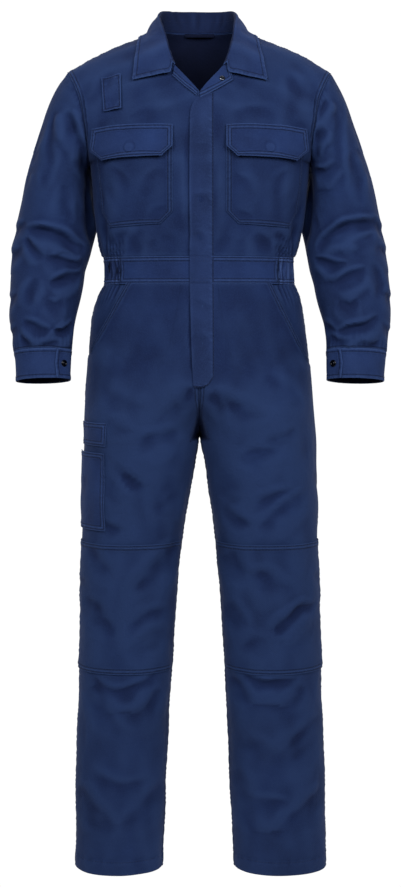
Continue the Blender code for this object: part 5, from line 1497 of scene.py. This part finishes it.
def rest_on_bodice(points, clearance, within):
    """Move the points that lie under the bodice's surface, or too near it, out to the clearance.

    Points further than within from the surface, such as those past its edge, stay.
    """
    flat = points.reshape(-1, 3)
    distance = np.full(len(flat), np.inf)
    nearest = np.zeros(len(flat), int)
    for start in range(0, len(flat), 400):
        gaps = ((flat[start:start + 400, None] - CLOUD_POINTS[None]) ** 2).sum(axis=2)
        nearest[start:start + 400] = np.argmin(gaps, axis=1)
        distance[start:start + 400] = gaps.min(axis=1)
    normals = CLOUD_NORMALS[nearest]
    height = ((flat - CLOUD_POINTS[nearest]) * normals).sum(axis=1)
    lift = np.clip(np.broadcast_to(clearance, points.shape[:-1]).reshape(-1) - height, 0, None)
    lift = lift * (distance < within ** 2)
    return (flat + normals * lift[:, None]).reshape(points.shape)


def refine(grid, rows, columns):
    """Read a coarse grid between its rows, then between its columns, with the tables' cubic."""
    for at in (rows, columns):
        flat = grid.reshape(len(grid), -1)
        low = np.clip(np.floor(at).astype(int), 0, len(grid) - 2)
        part = (at - low)[:, None]
        slopes = np.gradient(flat, axis=0)
        rise = part * part * (3 - 2 * part)
        finer = flat[low] * (1 - rise) + flat[low + 1] * rise
        finer += part * (1 - part) ** 2 * slopes[low] + part ** 2 * (part - 1) * slopes[low + 1]
        grid = finer.reshape(len(at), *grid.shape[1:]).transpose(1, 0, 2)
    return grid


def collar_section(along, side):
    """Rows across half the collar, from its neck seam up the stand, round the fold and down to the edge."""
    def point(part, first="_x"):
        return np.stack([read(COLLAR, part + ending, along) for ending in (first, "_y", "_z")], axis=-1)

    seam, fold, edge = point("seam"), point("fold"), point("edge", "_" + side)
    away = (edge - fold) * np.array([1, 1, 0])
    away = away / np.linalg.norm(away, axis=-1, keepdims=True)
    down = np.array([0, 0, -1.0])
    inner_turn = fold + (down - away) * FOLD_RADIUS
    outer_turn = fold + away * FOLD_RADIUS + down * FOLD_RADIUS / 2
    rows = [seam + (inner_turn - seam) * part for part in (0, 0.5, 1)]
    rows.append(fold)
    bulge = (away - down) * 0.7 * (LEAF_BULGE * bell(along, 0.5, 0.22))[:, None]
    corner = outer_turn + (edge - outer_turn) * 0.10
    corner += (down * LEAF_DROP + (fold - edge) * [0.08, 0, 0]) * smooth_step((along - 0.88) / 0.12)[:, None]
    rows += [outer_turn] + [corner + (edge - corner) * part + bulge * 4 * part * (1 - part)
                            for part in (0, 0.25, 0.5, 0.75, 1)]
    return np.stack(rows)


def collar():
    """The folded collar in one piece, round the back of the neck from leaf to leaf."""
    along = np.linspace(0, 1, 33)
    clearance = np.array(COLLAR_CLEARANCE)[:, None] + OVER_LAPEL * smooth_step((along - 0.75) / 0.12)
    half = rest_on_bodice(collar_section(along, "left"), clearance, 0.030)
    other = rest_on_bodice(collar_section(along, "right"), clearance, 0.030)
    coarse = np.concatenate([other[:, :0:-1] * np.array([-1, 1, 1]), half], axis=1)
    coarse[..., 0] -= COLLAR_LEAN * smooth_step((coarse[..., 2] + 0.010) / 0.05)
    rows = stations(0, 9, 0.22, 0.10, (2.6, 3.4, 4.9, 8.6, 9), 0.5)
    columns = stations(0, coarse.shape[1] - 1, 0.45, 0.20, (0, coarse.shape[1] - 1), 1.2)
    plain = refine(coarse, rows, columns)
    leaf = smooth_step((rows - 4.5) / 2)[:, None] * np.ones(len(columns))
    curl = leaf * 0.0010 * np.sin(columns * 0.33 + 0.6)[None, :]
    plain = plain + grid_normals(plain) * curl[..., None]
    lines = fold_lines(COLLAR_FOLDS, plain, grid_normals(plain))
    points, normals = dressed(plain, 1, lines, "", "lrt", uneven=0.5, gaps=(COLLAR_ROW,))
    # a lighter copy of the twill: painted light on the collar; its stand and inside get painted shade
    finish = twill("navy twill, collar", rows=(COLLAR_ROW,), face="#263B6E", deep="#1B2B55", worn="#3A5286")
    shell("collar", points, normals, finish,
          "lrt", thickness=COLLAR_CLOTH, shaded_rows=int(np.sum(rows < 3.0)))
    return edge_rows(points, normals, "lrt", (COLLAR_ROW,)) + edge_rows(points, normals, "b", STAND_ROWS)


def lapel(side):
    """The facing turned out at the open neck, under the collar's end."""
    near = stations(0, 1, 0.08, 0.03, (0, 1), 0.15)
    return patch("lapel_" + side, side, LAPEL[side], 0.0028, near, CLOTH + 0.0026, "r",
                 thickness=0.0018, finish=PAINTED_LIGHT_TWILL)


def hanger_loop():
    """A short tape inside the back of the neck, sewn down at its two ends and bowed between them."""
    half, sag, low, wide = 0.027, 0.004, 0.0165, 0.0053
    across = stations(-half, half, 0.0022, 0.0011, (-half, half), 0.006)[None, :]
    heights = np.linspace(low, low + wide, 7)[:, None]
    neck = NAPE[1] * np.sqrt(1 - (across / NECK_POINT[0]) ** 2)
    bow = sag * (1 - (across / half) ** 2)
    roll = 0.0008 * np.sin((heights - low) / wide * np.pi)
    plain = np.stack(np.broadcast_arrays(across, neck - CLOTH - 0.0014 - bow - roll, heights), axis=-1)
    finish = twill("loop tape", rows=(), edge_wear_and_highlight=0.0, face="#10182C", deep="#0B1020", worn="#18233F")
    shell("hanger_loop", plain, -grid_normals(plain), finish, "",
          thickness=0.0009)


collar_sewing = collar()
for lapel_side in SIDE_SIGN:
    collar_sewing += lapel(lapel_side)
hanger_loop()
stitches("collar_stitching", collar_sewing)


# ---------------------------------------------------------------- sleeves
# One-piece sleeves set into the armholes, hanging beside the body with the elbows a little forward: the
# cloth collapses into a lens at the elbow and into crossed folds over the cuff.

# A row is one section of the sleeve, from the armhole (0) to the cuff seam (17): its outermost and
# innermost points, its depths in front and behind, where its middle lies, how much its front rises and
# how far it reaches in behind the body.
ARM_COLUMNS = ("station outer_right outer_left outer_height inner_right inner_left inner_height"
               " front back middle tilt behind")
SLEEVE = table(
    ARM_COLUMNS, [
        (0, 0.2430, 0.2430, SHOULDER_TIP, 0.2030, 0.2030, UNDERARM, 0.074, 0.080, 0.000, 0.00, 0.000),
        (1, 0.2605, 0.2565, -0.086, 0.2055, 0.2055, -0.238, 0.074, 0.079, 0.000, 0.00, 0.006),
        (2, 0.2760, 0.2715, -0.118, 0.2070, 0.2070, -0.247, 0.073, 0.077, 0.000, 0.00, 0.012),
        (3, 0.2895, 0.2855, -0.155, 0.2080, 0.2080, -0.258, 0.071, 0.075, 0.000, 0.00, 0.016),
        (4, 0.3015, 0.2985, -0.193, 0.2088, 0.2088, -0.272, 0.069, 0.073, 0.000, 0.00, 0.020),
        (5, 0.3125, 0.3110, -0.232, 0.2095, 0.2090, -0.290, 0.067, 0.071, 0.001, 0.00, 0.027),
        (6, 0.3220, 0.3210, -0.268, 0.2095, 0.2085, -0.311, 0.066, 0.070, 0.002, 0.00, 0.032),
        (7, 0.3310, 0.3300, -0.305, 0.2090, 0.2070, -0.335, 0.066, 0.069, 0.003, 0.00, 0.034),
        (8, 0.3385, 0.3370, -0.342, 0.2055, 0.2030, -0.360, 0.066, 0.068, 0.003, 0.00, 0.022),
        (9, 0.3445, 0.3425, -0.375, 0.2000, 0.1980, -0.383, 0.066, 0.066, 0.002, 0.01, 0.008),
        (10, 0.3470, 0.3460, -0.405, 0.2035, 0.2000, -0.405, 0.066, 0.064, -0.002, 0.03, 0.000),
        (11, 0.3480, 0.3475, -0.432, 0.2110, 0.2045, -0.428, 0.065, 0.060, -0.006, 0.06, 0.000),
        (12, 0.3490, 0.3490, -0.460, 0.2145, 0.2115, -0.452, 0.063, 0.057, -0.012, 0.09, 0.000),
        (13, 0.3490, 0.3495, -0.488, 0.2190, 0.2160, -0.478, 0.060, 0.054, -0.019, 0.12, 0.000),
        (14, 0.3485, 0.3480, -0.515, 0.2250, 0.2220, -0.505, 0.056, 0.050, -0.026, 0.15, 0.000),
        (15, 0.3450, 0.3450, -0.541, 0.2300, 0.2275, -0.532, 0.051, 0.046, -0.032, 0.17, 0.000),
        (16, 0.3405, 0.3405, -0.563, 0.2330, 0.2300, -0.556, 0.045, 0.042, -0.037, 0.18, 0.000),
        (17, 0.3385, 0.3385, -0.577, 0.2345, 0.2305, -0.574, 0.041, 0.040, -0.040, 0.18, 0.000),
    ])
ARMHOLE_HOLLOW = 0.0138   # how far the armhole's front and back curve in from the line of its ends
BESIDE_BODY = 0.0022      # the least room between the hanging sleeve and the body beside it
SLEEVE_TUCK = [(0.0090, -0.0024), (0.0045, -0.0022), (0.0012, -0.0018), (-0.0022, -0.0006)]
SLEEVE_FOLDS = {
    "right": {
        "front": [
            (11, 8, 0.6, 0.4, -239, -139, -228, -179, -210, -222),
            (9, 4.5, 0.5, 0.5, -217, -190, -212, -226, -205, -269),
            (10, 3, 0.4, 0.5, -260, -135, -273, -211, -282, -283),
            (11, 2.6, 0.4, 0.5, -241, -274, -244, -310, -233, -341),
            (9, -2, 0, 0.5, -279, -170, -280, -215, -279, -265),
            (11, 2.4, 0.4, 0.5, -215, -256, -208, -301, -201, -346),
            (12, 9, 0.6, 0.5, -314, -355, -274, -355, -241, -369, -207, -395),
            (8, 5, 0.6, 0.5, -316, -369, -301, -387, -281, -406),
            (9, 4.6, 0.6, 0.5, -281, -404, -249, -413, -212, -409),
            (9, 3, 0.5, 0.5, -267, -413, -245, -402, -223, -406),
            (10, 6, 0.6, 0.45, -270, -451, -245, -444, -216, -429),
            (10, 3.6, 0.5, 0.5, -295, -437, -307, -467, -307, -496),
            (10, 3, 0.5, 0.5, -279, -482, -261, -492, -243, -482),
            (9, 5.6, 0.6, 0.5, -318, -519, -293, -530, -268, -535),
            (9, 5.6, 0.6, 0.5, -268, -535, -248, -537, -229, -521),
            (7, -2.2, 0.2, 0.5, -286, -518, -268, -537, -246, -555),
            (7, -2.2, 0.2, 0.5, -243, -514, -266, -537, -290, -550),
            (9, 4, 0.5, 0.5, -293, -559, -272, -564, -250, -559),
            (9, 3, 0.4, 0.5, -325, -550, -311, -559, -298, -566),
        ],
        "back": [
            (14, 6, 0.5, 0.5, -222, -170, -236, -200, -252, -232),
            (13, 3.4, 0.4, 0.5, -262, -190, -262, -240, -252, -290),
            (13, 4.4, 0.5, 0.5, -318, -352, -280, -366, -232, -372),
            (11, 4, 0.5, 0.5, -314, -392, -276, -402, -228, -398),
            (12, 3.6, 0.5, 0.5, -318, -426, -282, -440, -246, -436),
            (11, 4.4, 0.5, 0.5, -320, -516, -286, -530, -252, -524),
            (10, 3.6, 0.5, 0.5, -308, -552, -284, -558, -258, -552),
        ],
        "right": [
            (12, 5, 0.5, 0.5, -50, -340, -8, -352, 40, -346),
            (11, 3.6, 0.5, 0.5, -52, -392, -10, -396, 36, -388),
            (11, 3.6, 0.5, 0.5, -62, -470, -24, -482, 22, -476),
            (11, 4.2, 0.5, 0.5, -68, -530, -36, -540, 0, -532),
            (13, 3.2, 0.4, 0.5, -30, -160, -24, -220, -30, -280),
        ],
    },
    "left": {
        "front": [
            (10, 7.5, 0.6, 0.4, 226, -114, 214, -139, 210, -164),
            (10, 7.5, 0.6, 0.4, 221, -168, 208, -197, 212, -226),
            (9, 4.6, 0.6, 0.5, 208, -244, 228, -249, 248, -233),
            (10, 2.8, 0.4, 0.5, 244, -139, 250, -193, 246, -247),
            (9, -2, 0, 0.5, 263, -112, 266, -193, 263, -292),
            (12, 2.6, 0.4, 0.5, 275, -211, 289, -265, 293, -310),
            (11, 2.6, 0.4, 0.5, 214, -274, 210, -319, 217, -359),
            (12, 9, 0.6, 0.5, 214, -391, 240, -362, 276, -348, 326, -337),
            (9, 6, 0.6, 0.5, 207, -406, 236, -415, 269, -415),
            (9, 3.4, 0.5, 0.5, 276, -384, 297, -373, 319, -359),
            (10, 5.2, 0.6, 0.5, 243, -453, 272, -442, 301, -424),
            (10, 3, 0.5, 0.5, 309, -414, 324, -446, 320, -482),
            (10, 6.2, 0.6, 0.5, 245, -539, 284, -528, 324, -514),
            (9, 4.2, 0.5, 0.5, 232, -548, 254, -555, 275, -555),
            (9, 3.4, 0.5, 0.5, 223, -518, 232, -528, 245, -539),
            (7, -2, 0.2, 0.5, 309, -544, 281, -559, 259, -568),
            (9, 3.2, 0.45, 0.5, 284, -562, 302, -564, 320, -559),
            (10, 3, 0.5, 0.5, 252, -482, 266, -492, 284, -482),
        ],
        "back": [
            (14, 6, 0.5, 0.5, 222, -166, 236, -198, 254, -228),
            (13, 3.4, 0.4, 0.5, 264, -196, 262, -244, 252, -292),
            (13, 4.4, 0.5, 0.5, 316, -346, 280, -362, 230, -370),
            (11, 4, 0.5, 0.5, 314, -388, 278, -400, 226, -394),
            (12, 3.6, 0.5, 0.5, 320, -424, 284, -436, 244, -434),
            (11, 4.4, 0.5, 0.5, 320, -512, 288, -528, 250, -520),
            (10, 3.6, 0.5, 0.5, 308, -550, 284, -556, 256, -550),
        ],
        "left": [
            (12, 5, 0.5, 0.5, -50, -336, -8, -350, 40, -342),
            (11, 3.6, 0.5, 0.5, -52, -388, -12, -394, 36, -384),
            (11, 3.6, 0.5, 0.5, -62, -466, -26, -480, 22, -472),
            (11, 4.2, 0.5, 0.5, -68, -528, -38, -538, 0, -530),
            (13, 3.2, 0.4, 0.5, -30, -166, -24, -226, -30, -284),
        ],
    },
}


def tube_rows(sections, side, turns, places):
    """Rings of a sleeve or cuff: each a tilted ellipse through the section's four outer points.

    A turn of 0 degrees is the outermost point, 90 the front, 180 the innermost, 270 the back.
    """
    turn = np.radians(turns)[None, :]
    names = f"outer_{side} outer_height inner_{side} inner_height front back middle tilt behind".split()
    outer, outer_height, inner, inner_height, front, back, middle, tilt, behind = (
        read(sections, name, places)[:, None] for name in names)
    depth = np.where(np.sin(turn) > 0, front, back) * np.sin(turn)
    across = (outer + inner) / 2 + (outer - inner) / 2 * np.cos(turn)
    across = across - behind * np.clip(-np.sin(turn), 0, 1) * np.clip(-np.cos(turn), 0, 1) * 2
    height = (outer_height + inner_height) / 2 + (outer_height - inner_height) / 2 * np.cos(turn)
    forward = middle - depth * np.sqrt(1 - tilt ** 2)
    return np.stack([SIDE_SIGN[side] * across, forward, height + depth * tilt], axis=-1)


def armhole_rings(side, turns):
    """The rings that carry the sleeve's edge in under the felled armhole, from well inside to just past it.

    Each lies off the armhole along the body's surface and its normal; both follow the body's own relief.
    """
    level = np.abs(turns / 180 - 1)
    front = (turns < 180)[:, None]
    edge = np.where(front, armhole_point("front", level), armhole_point("back", level))
    edge[:, 0] *= SIDE_SIGN[side]
    nearest = np.argmin(((edge[:, None] - CLOUD_POINTS[None]) ** 2).sum(axis=2), axis=1)
    normals = CLOUD_NORMALS[nearest]
    for _ in range(6):
        normals = (np.roll(normals, 1, 0) + 2 * normals + np.roll(normals, -1, 0)) / 4
    normals /= np.linalg.norm(normals, axis=1, keepdims=True)
    inward = np.cross(normals, np.roll(edge, -1, 0) - np.roll(edge, 1, 0))
    inward /= np.linalg.norm(inward, axis=1, keepdims=True)
    inward *= -SIDE_SIGN[side] * np.sign(inward[0, 0])
    moved = edge + normals * (relief(BODICE_LINES, edge, normals) + slack(edge))[:, None]
    return np.stack([moved + inward * past + normals * over for past, over in SLEEVE_TUCK])


def sleeve(side):
    """The sleeve, from under the felled armhole to the cuff seam."""
    places = np.concatenate([[0.5, 0.75], np.linspace(1, 3, 9), np.arange(3.5, 17.01, 0.5)])
    turns = np.arange(72) * 5.0
    coarse = tube_rows(SLEEVE, side, turns, places)
    hollow = ARMHOLE_HOLLOW * np.sin(np.radians(turns)) ** 2 * (1 - smooth_step(places[:, None] / 5))
    coarse[..., 0] -= SIDE_SIGN[side] * hollow
    rested = rest_on_bodice(coarse, BESIDE_BODY, 0.040)
    beside_it = np.maximum(smooth_step((-np.cos(np.radians(turns)) - 0.1) / 0.5), places[:, None] > 2.5)
    coarse = coarse + (rested - coarse) * beside_it[..., None]
    onward = coarse[-1] - coarse[-2]
    below = coarse[-1] + onward * TUCK / np.linalg.norm(onward, axis=1)[:, None]
    coarse = np.concatenate([armhole_rings(side, turns), coarse, below[None]])
    finer = np.concatenate([coarse[:, -2:], coarse, coarse[:, :3]], axis=1)
    length = np.linalg.norm(np.diff(coarse[:, 0], axis=0), axis=1)
    run = np.concatenate([[0], np.cumsum(length)])
    at = stations(0, run[-1], 0.0034, 0.0018, (run[3], run[-1]), 0.009)
    rows = np.interp(at, run, np.arange(len(run)))
    columns = 2 + np.arange(0, 72, 0.6)
    plain = refine(finer, rows, columns)
    facing = SIDE_SIGN[side]
    normals = grid_normals(plain, True) * facing
    lines = fold_lines(SLEEVE_FOLDS[side], plain, normals)
    from_seam, from_cuff = (at[:, None] - run[3]) + 0 * columns, (run[-1] - at)[:, None] + 0 * columns
    around = columns[None, :] * 0.0062
    near_cuff = np.exp(-(from_cuff / 0.030) ** 2) * (1 - bell(from_cuff, 0, 0.003))
    lift = 0.0006 * ripple(around, 0.013, 0.4) * bell(from_seam, 0.006, 0.005)
    lift += 0.0008 * ripple(around, 0.019, 1.7) * near_cuff + tucked(from_cuff - TUCK)
    fade = smooth_step((from_seam - 0.002) / 0.022)
    points, normals = dressed(plain, facing, lines, closed=True, uneven=1.2, extra=lift, fade=fade)
    shell("sleeve_" + side, points, normals, TWILL, "t", closed=True)
    wrapped = [np.concatenate([grid, grid[:, :1]], axis=1) for grid in (points, normals)]
    return edge_rows(*wrapped, "t", (TUCK + 0.0030,))


stitches("sleeve_stitching", [row for arm in SIDE_SIGN for row in sleeve(arm)])


# ---------------------------------------------------------------- cuffs
# A straight doubled band once round the wrist and on over its own start, where a snap closes it. Its
# upper layer ends in a blunt point; both edges have a stitch row.

CUFF = table(
    ARM_COLUMNS, [
        (0, 0.3385, 0.3385, -0.5773, 0.2345, 0.2305, -0.5743, 0.041, 0.040, -0.0400, 0.18, 0.0),
        (1, 0.3360, 0.3365, -0.6030, 0.2350, 0.2312, -0.6000, 0.040, 0.039, -0.0445, 0.18, 0.0),
        (2, 0.3345, 0.3350, -0.6290, 0.2358, 0.2322, -0.6260, 0.039, 0.038, -0.0490, 0.18, 0.0),
    ])
CUFF_LAP_END = 123.7      # where the upper layer of the cuff ends, in front
CUFF_UNDERLAP = 28.0      # degrees of the lower layer hidden under it
CUFF_LIFT = 0.0028
CUFF_POINT = 0.0034       # how far the blunt point stands out
CUFF_ROW = 0.0055
# a lighter copy of the twill: painted light on the cuffs
CUFF_TWILL = twill("navy twill, cuff", rows=(CUFF_ROW,), face="#263B6E", deep="#1B2B55", worn="#3A5286")


def cuff(side):
    """The band from the end of its underlap right round to its upper end."""
    first = CUFF_LAP_END + CUFF_UNDERLAP
    last = CUFF_LAP_END - 360
    turns = stations(last, first, 3.4, 1.1, (last, first), 6.0)[::-1]
    plain = tube_rows(CUFF, side, turns, stations(0, 2, 0.12, 0.05, (0.12, 1.88), 0.25))[::-1]
    facing = SIDE_SIGN[side]
    normals = grid_normals(plain) * facing
    lift = CUFF_LIFT * smooth_step((CUFF_LAP_END - 300 - turns) / 30)
    plain = plain + normals * lift[None, :, None]
    from_end, course = edge_run(plain, "r")
    onward = plain[:, -1:] - plain[:, -2:-1]
    point = CUFF_POINT * (1 - np.abs(2 * course / course.max() - 1)) * bell(from_end, 0, 0.008)
    plain = plain + onward / np.linalg.norm(onward, axis=2, keepdims=True) * point[..., None]
    points, normals = dressed(plain, facing, [], "", "btr", gaps=(CUFF_ROW,))
    shell("cuff_" + side, points, normals, CUFF_TWILL, "btr",
          thickness=0.0018)
    return edge_rows(points, normals, "bt", (CUFF_ROW,))


stitches("cuff_stitching", [row for arm in SIDE_SIGN for row in cuff(arm)])


# ---------------------------------------------------------------- snaps
# A brass socket, chromed, on the turned-out lapel, and a lacquered dark cap on each cuff: pressed rings of
# sheet metal, turned from their profiles, with their rolled edges.

SNAP_SIDES = 48
SOCKET_PROFILE = [
    (0.0000, -0.0001), (0.0021, 0.0000), (0.0024, 0.0006), (0.0026, 0.0013), (0.0030, 0.0016),
    (0.0037, 0.0015), (0.0044, 0.0012), (0.0049, 0.0007), (0.0050, 0.0002), (0.0048, -0.0002),
    (0.0000, -0.0002)]
CAP_PROFILE = [
    (0.0000, 0.0018), (0.0012, 0.0019), (0.0026, 0.0018), (0.0034, 0.0012), (0.0041, 0.0017),
    (0.0052, 0.0018), (0.0060, 0.0014), (0.0065, 0.0006), (0.0062, -0.0002), (0.0000, -0.0002)]
LAPEL_SNAP_PLACE = (0.0395, -0.0905)
CUFF_SNAP_TURN = -219.0


def metal(name, colour, worn, roughness, coat):
    """Pressed and tumbled sheet metal: fine dents and rubbed spots; lacquered where it has a coat."""
    finish, tree, shader = started(name)
    place = add(tree, "TexCoord", output="Object")
    rubbed = add(tree, "TexNoise", {"Vector": place, "Scale": 700.0, "Detail": 3.0})
    spots = add(tree, "MapRange", {"Value": rubbed, "From Min": 0.5, "From Max": 0.75, "To Max": 0.7})
    gloss = add(tree, "MapRange", {"Value": rubbed, "To Min": roughness - 0.08, "To Max": roughness + 0.1})
    covered(tree, shader, [colour, (spots, worn)], rubbed, 0.3, 0.0001)
    tree.links.new(gloss, shader.inputs["Roughness"])
    shader.inputs["Metallic"].default_value = 1.0
    shader.inputs["Coat Weight"].default_value = coat
    return finish


def turned(node, profile, centre, normal, finish, slot):
    """A round piece: its profile (radius, height) turned about the normal."""
    first = np.cross(normal, [0, 0, 1.0])
    first /= np.linalg.norm(first)
    second = np.cross(normal, first)
    turns = np.arange(SNAP_SIDES) * 2 * np.pi / SNAP_SIDES
    ring = np.cos(turns)[:, None] * first + np.sin(turns)[:, None] * second
    middle = [ring * max(radius, 1e-5) + normal * (height + 0.0005) for radius, height in profile]
    points = centre + np.concatenate(middle)
    side = np.arange(SNAP_SIDES)
    after = (side + 1) % SNAP_SIDES
    faces = [np.stack([side + low, side + low + SNAP_SIDES, after + low + SNAP_SIDES, after + low], axis=-1)
             for low in range(0, (len(profile) - 1) * SNAP_SIDES, SNAP_SIDES)]
    mesh = bpy.data.meshes.new(node + "_metal")
    mesh.from_pydata(points, [], np.concatenate(faces))
    mesh.validate()
    mesh.shade_smooth()
    mesh.set_sharp_from_angle(angle=np.radians(50))
    mesh.materials.append(finish)
    piece(node + "_metal", mesh, node)


def snaps():
    """The open socket on the turned-out lapel, and the cap on each cuff's lap."""
    across, height = (np.array([value]) for value in LAPEL_SNAP_PLACE)
    point, normal = lay_on_front("left", across, height)
    steel = metal("chromed snap", "#4A505E", "#C9CED8", 0.24, 0.0)
    turned("lapel_snap", SOCKET_PROFILE, point[0] + normal[0] * (CLOTH * 2 + 0.0012), normal[0], steel,
           "steel_snap")
    dark = metal("lacquered snap", "#0A0D16", "#3A404E", 0.30, 0.5)
    for side in SIDE_SIGN:
        near = CUFF_SNAP_TURN + np.array([2.0, 0.0, -2.0])
        grid = tube_rows(CUFF, side, near, np.array([0.8, 1.0, 1.2]))[::-1]
        facing = grid_normals(grid)[1, 1] * SIDE_SIGN[side]
        turned("cuff_snap_" + side, CAP_PROFILE, grid[1, 1] + facing * CUFF_LIFT, facing, dark,
               "dark_snap")


snaps()


# ---------------------------------------------------------------- studio
# A pale floor well below the hems, a white backdrop glow from behind, and two large soft lights in
# front, to the left and the right of the camera and 1.2 m over it.

CAMERA_PLACE = (0.0, -2.74, -0.505)
CAMERA_LENS = 60.1        # mm, on a sensor 36 mm wide; the shifts set the middle of the picture
CAMERA_SHIFT = (0.0011, -0.1471)
FLOOR_HEIGHT = -2.1
FLOOR_RADIUS = 1.25
LIGHT_AIM = (0, 0, -0.45)
LIGHTS = {                # place, diameter, power in watts
    "left": ((-0.9, -2.4, 0.7), 1.5, 34),
    "right": ((1.2, -2.4, 0.7), 1.5, 37),
}


def studio():
    """Floor, world, lights and camera."""
    scene = bpy.context.scene
    scene.view_settings.view_transform = "Standard"
    mesh = bpy.data.meshes.new("floor")
    turns = np.linspace(0, 2 * np.pi, 97)[:-1]
    across, forward = FLOOR_RADIUS * np.cos(turns), FLOOR_RADIUS * np.sin(turns)
    mesh.from_pydata(np.stack([across, forward, FLOOR_HEIGHT + 0 * turns], axis=-1), [], [np.arange(96)])
    floor = bpy.data.objects.new("floor", mesh)
    scene.collection.objects.link(floor)
    paper, tree, shader = started("studio paper")
    place = add(tree, "TexCoord", output="Object")
    grain = add(tree, "TexNoise", {"Vector": place, "Scale": 60.0})
    shade = add(tree, "Mix", {0: grain, 6: linear("#FBFBFB"), 7: linear("#F6F6F6")}, 2, data_type="RGBA")
    tree.links.new(shade, shader.inputs["Base Color"])
    shader.inputs["Roughness"].default_value = 0.9
    mesh.materials.append(paper)

    world = bpy.data.worlds.new("studio")
    world.use_nodes = True
    scene.world = world
    tree = world.node_tree
    forward = add(tree, "SeparateXYZ", {"Vector": add(tree, "TexCoord", output="Generated")}, "Y")
    glow = add(tree, "MapRange", {"Value": forward, "From Min": -0.3, "From Max": 0.75, "To Min": 0.04,
                                  "To Max": 1.03})
    tree.links.new(glow, tree.nodes["Background"].inputs["Strength"])
    tree.nodes["Background"].inputs["Color"].default_value = (1, 1, 1, 1)

    for name, (place, size, power) in LIGHTS.items():
        light = bpy.data.lights.new(name, "AREA")
        light.shape, light.size, light.energy = "DISK", size, power
        lamp = bpy.data.objects.new(name, light)
        scene.collection.objects.link(lamp)
        lamp.location = place
        aim = mathutils.Vector(LIGHT_AIM) - lamp.location
        lamp.rotation_euler = aim.to_track_quat("-Z", "Y").to_euler()

    lens = bpy.data.cameras.new("camera")
    lens.sensor_fit, lens.sensor_width = "AUTO", 36
    lens.lens, (lens.shift_x, lens.shift_y) = CAMERA_LENS, CAMERA_SHIFT
    camera = bpy.data.objects.new("camera", lens)
    camera.location = CAMERA_PLACE
    camera.rotation_euler = (np.pi / 2, 0, 0)
    scene.collection.objects.link(camera)
    scene.camera = camera


studio()
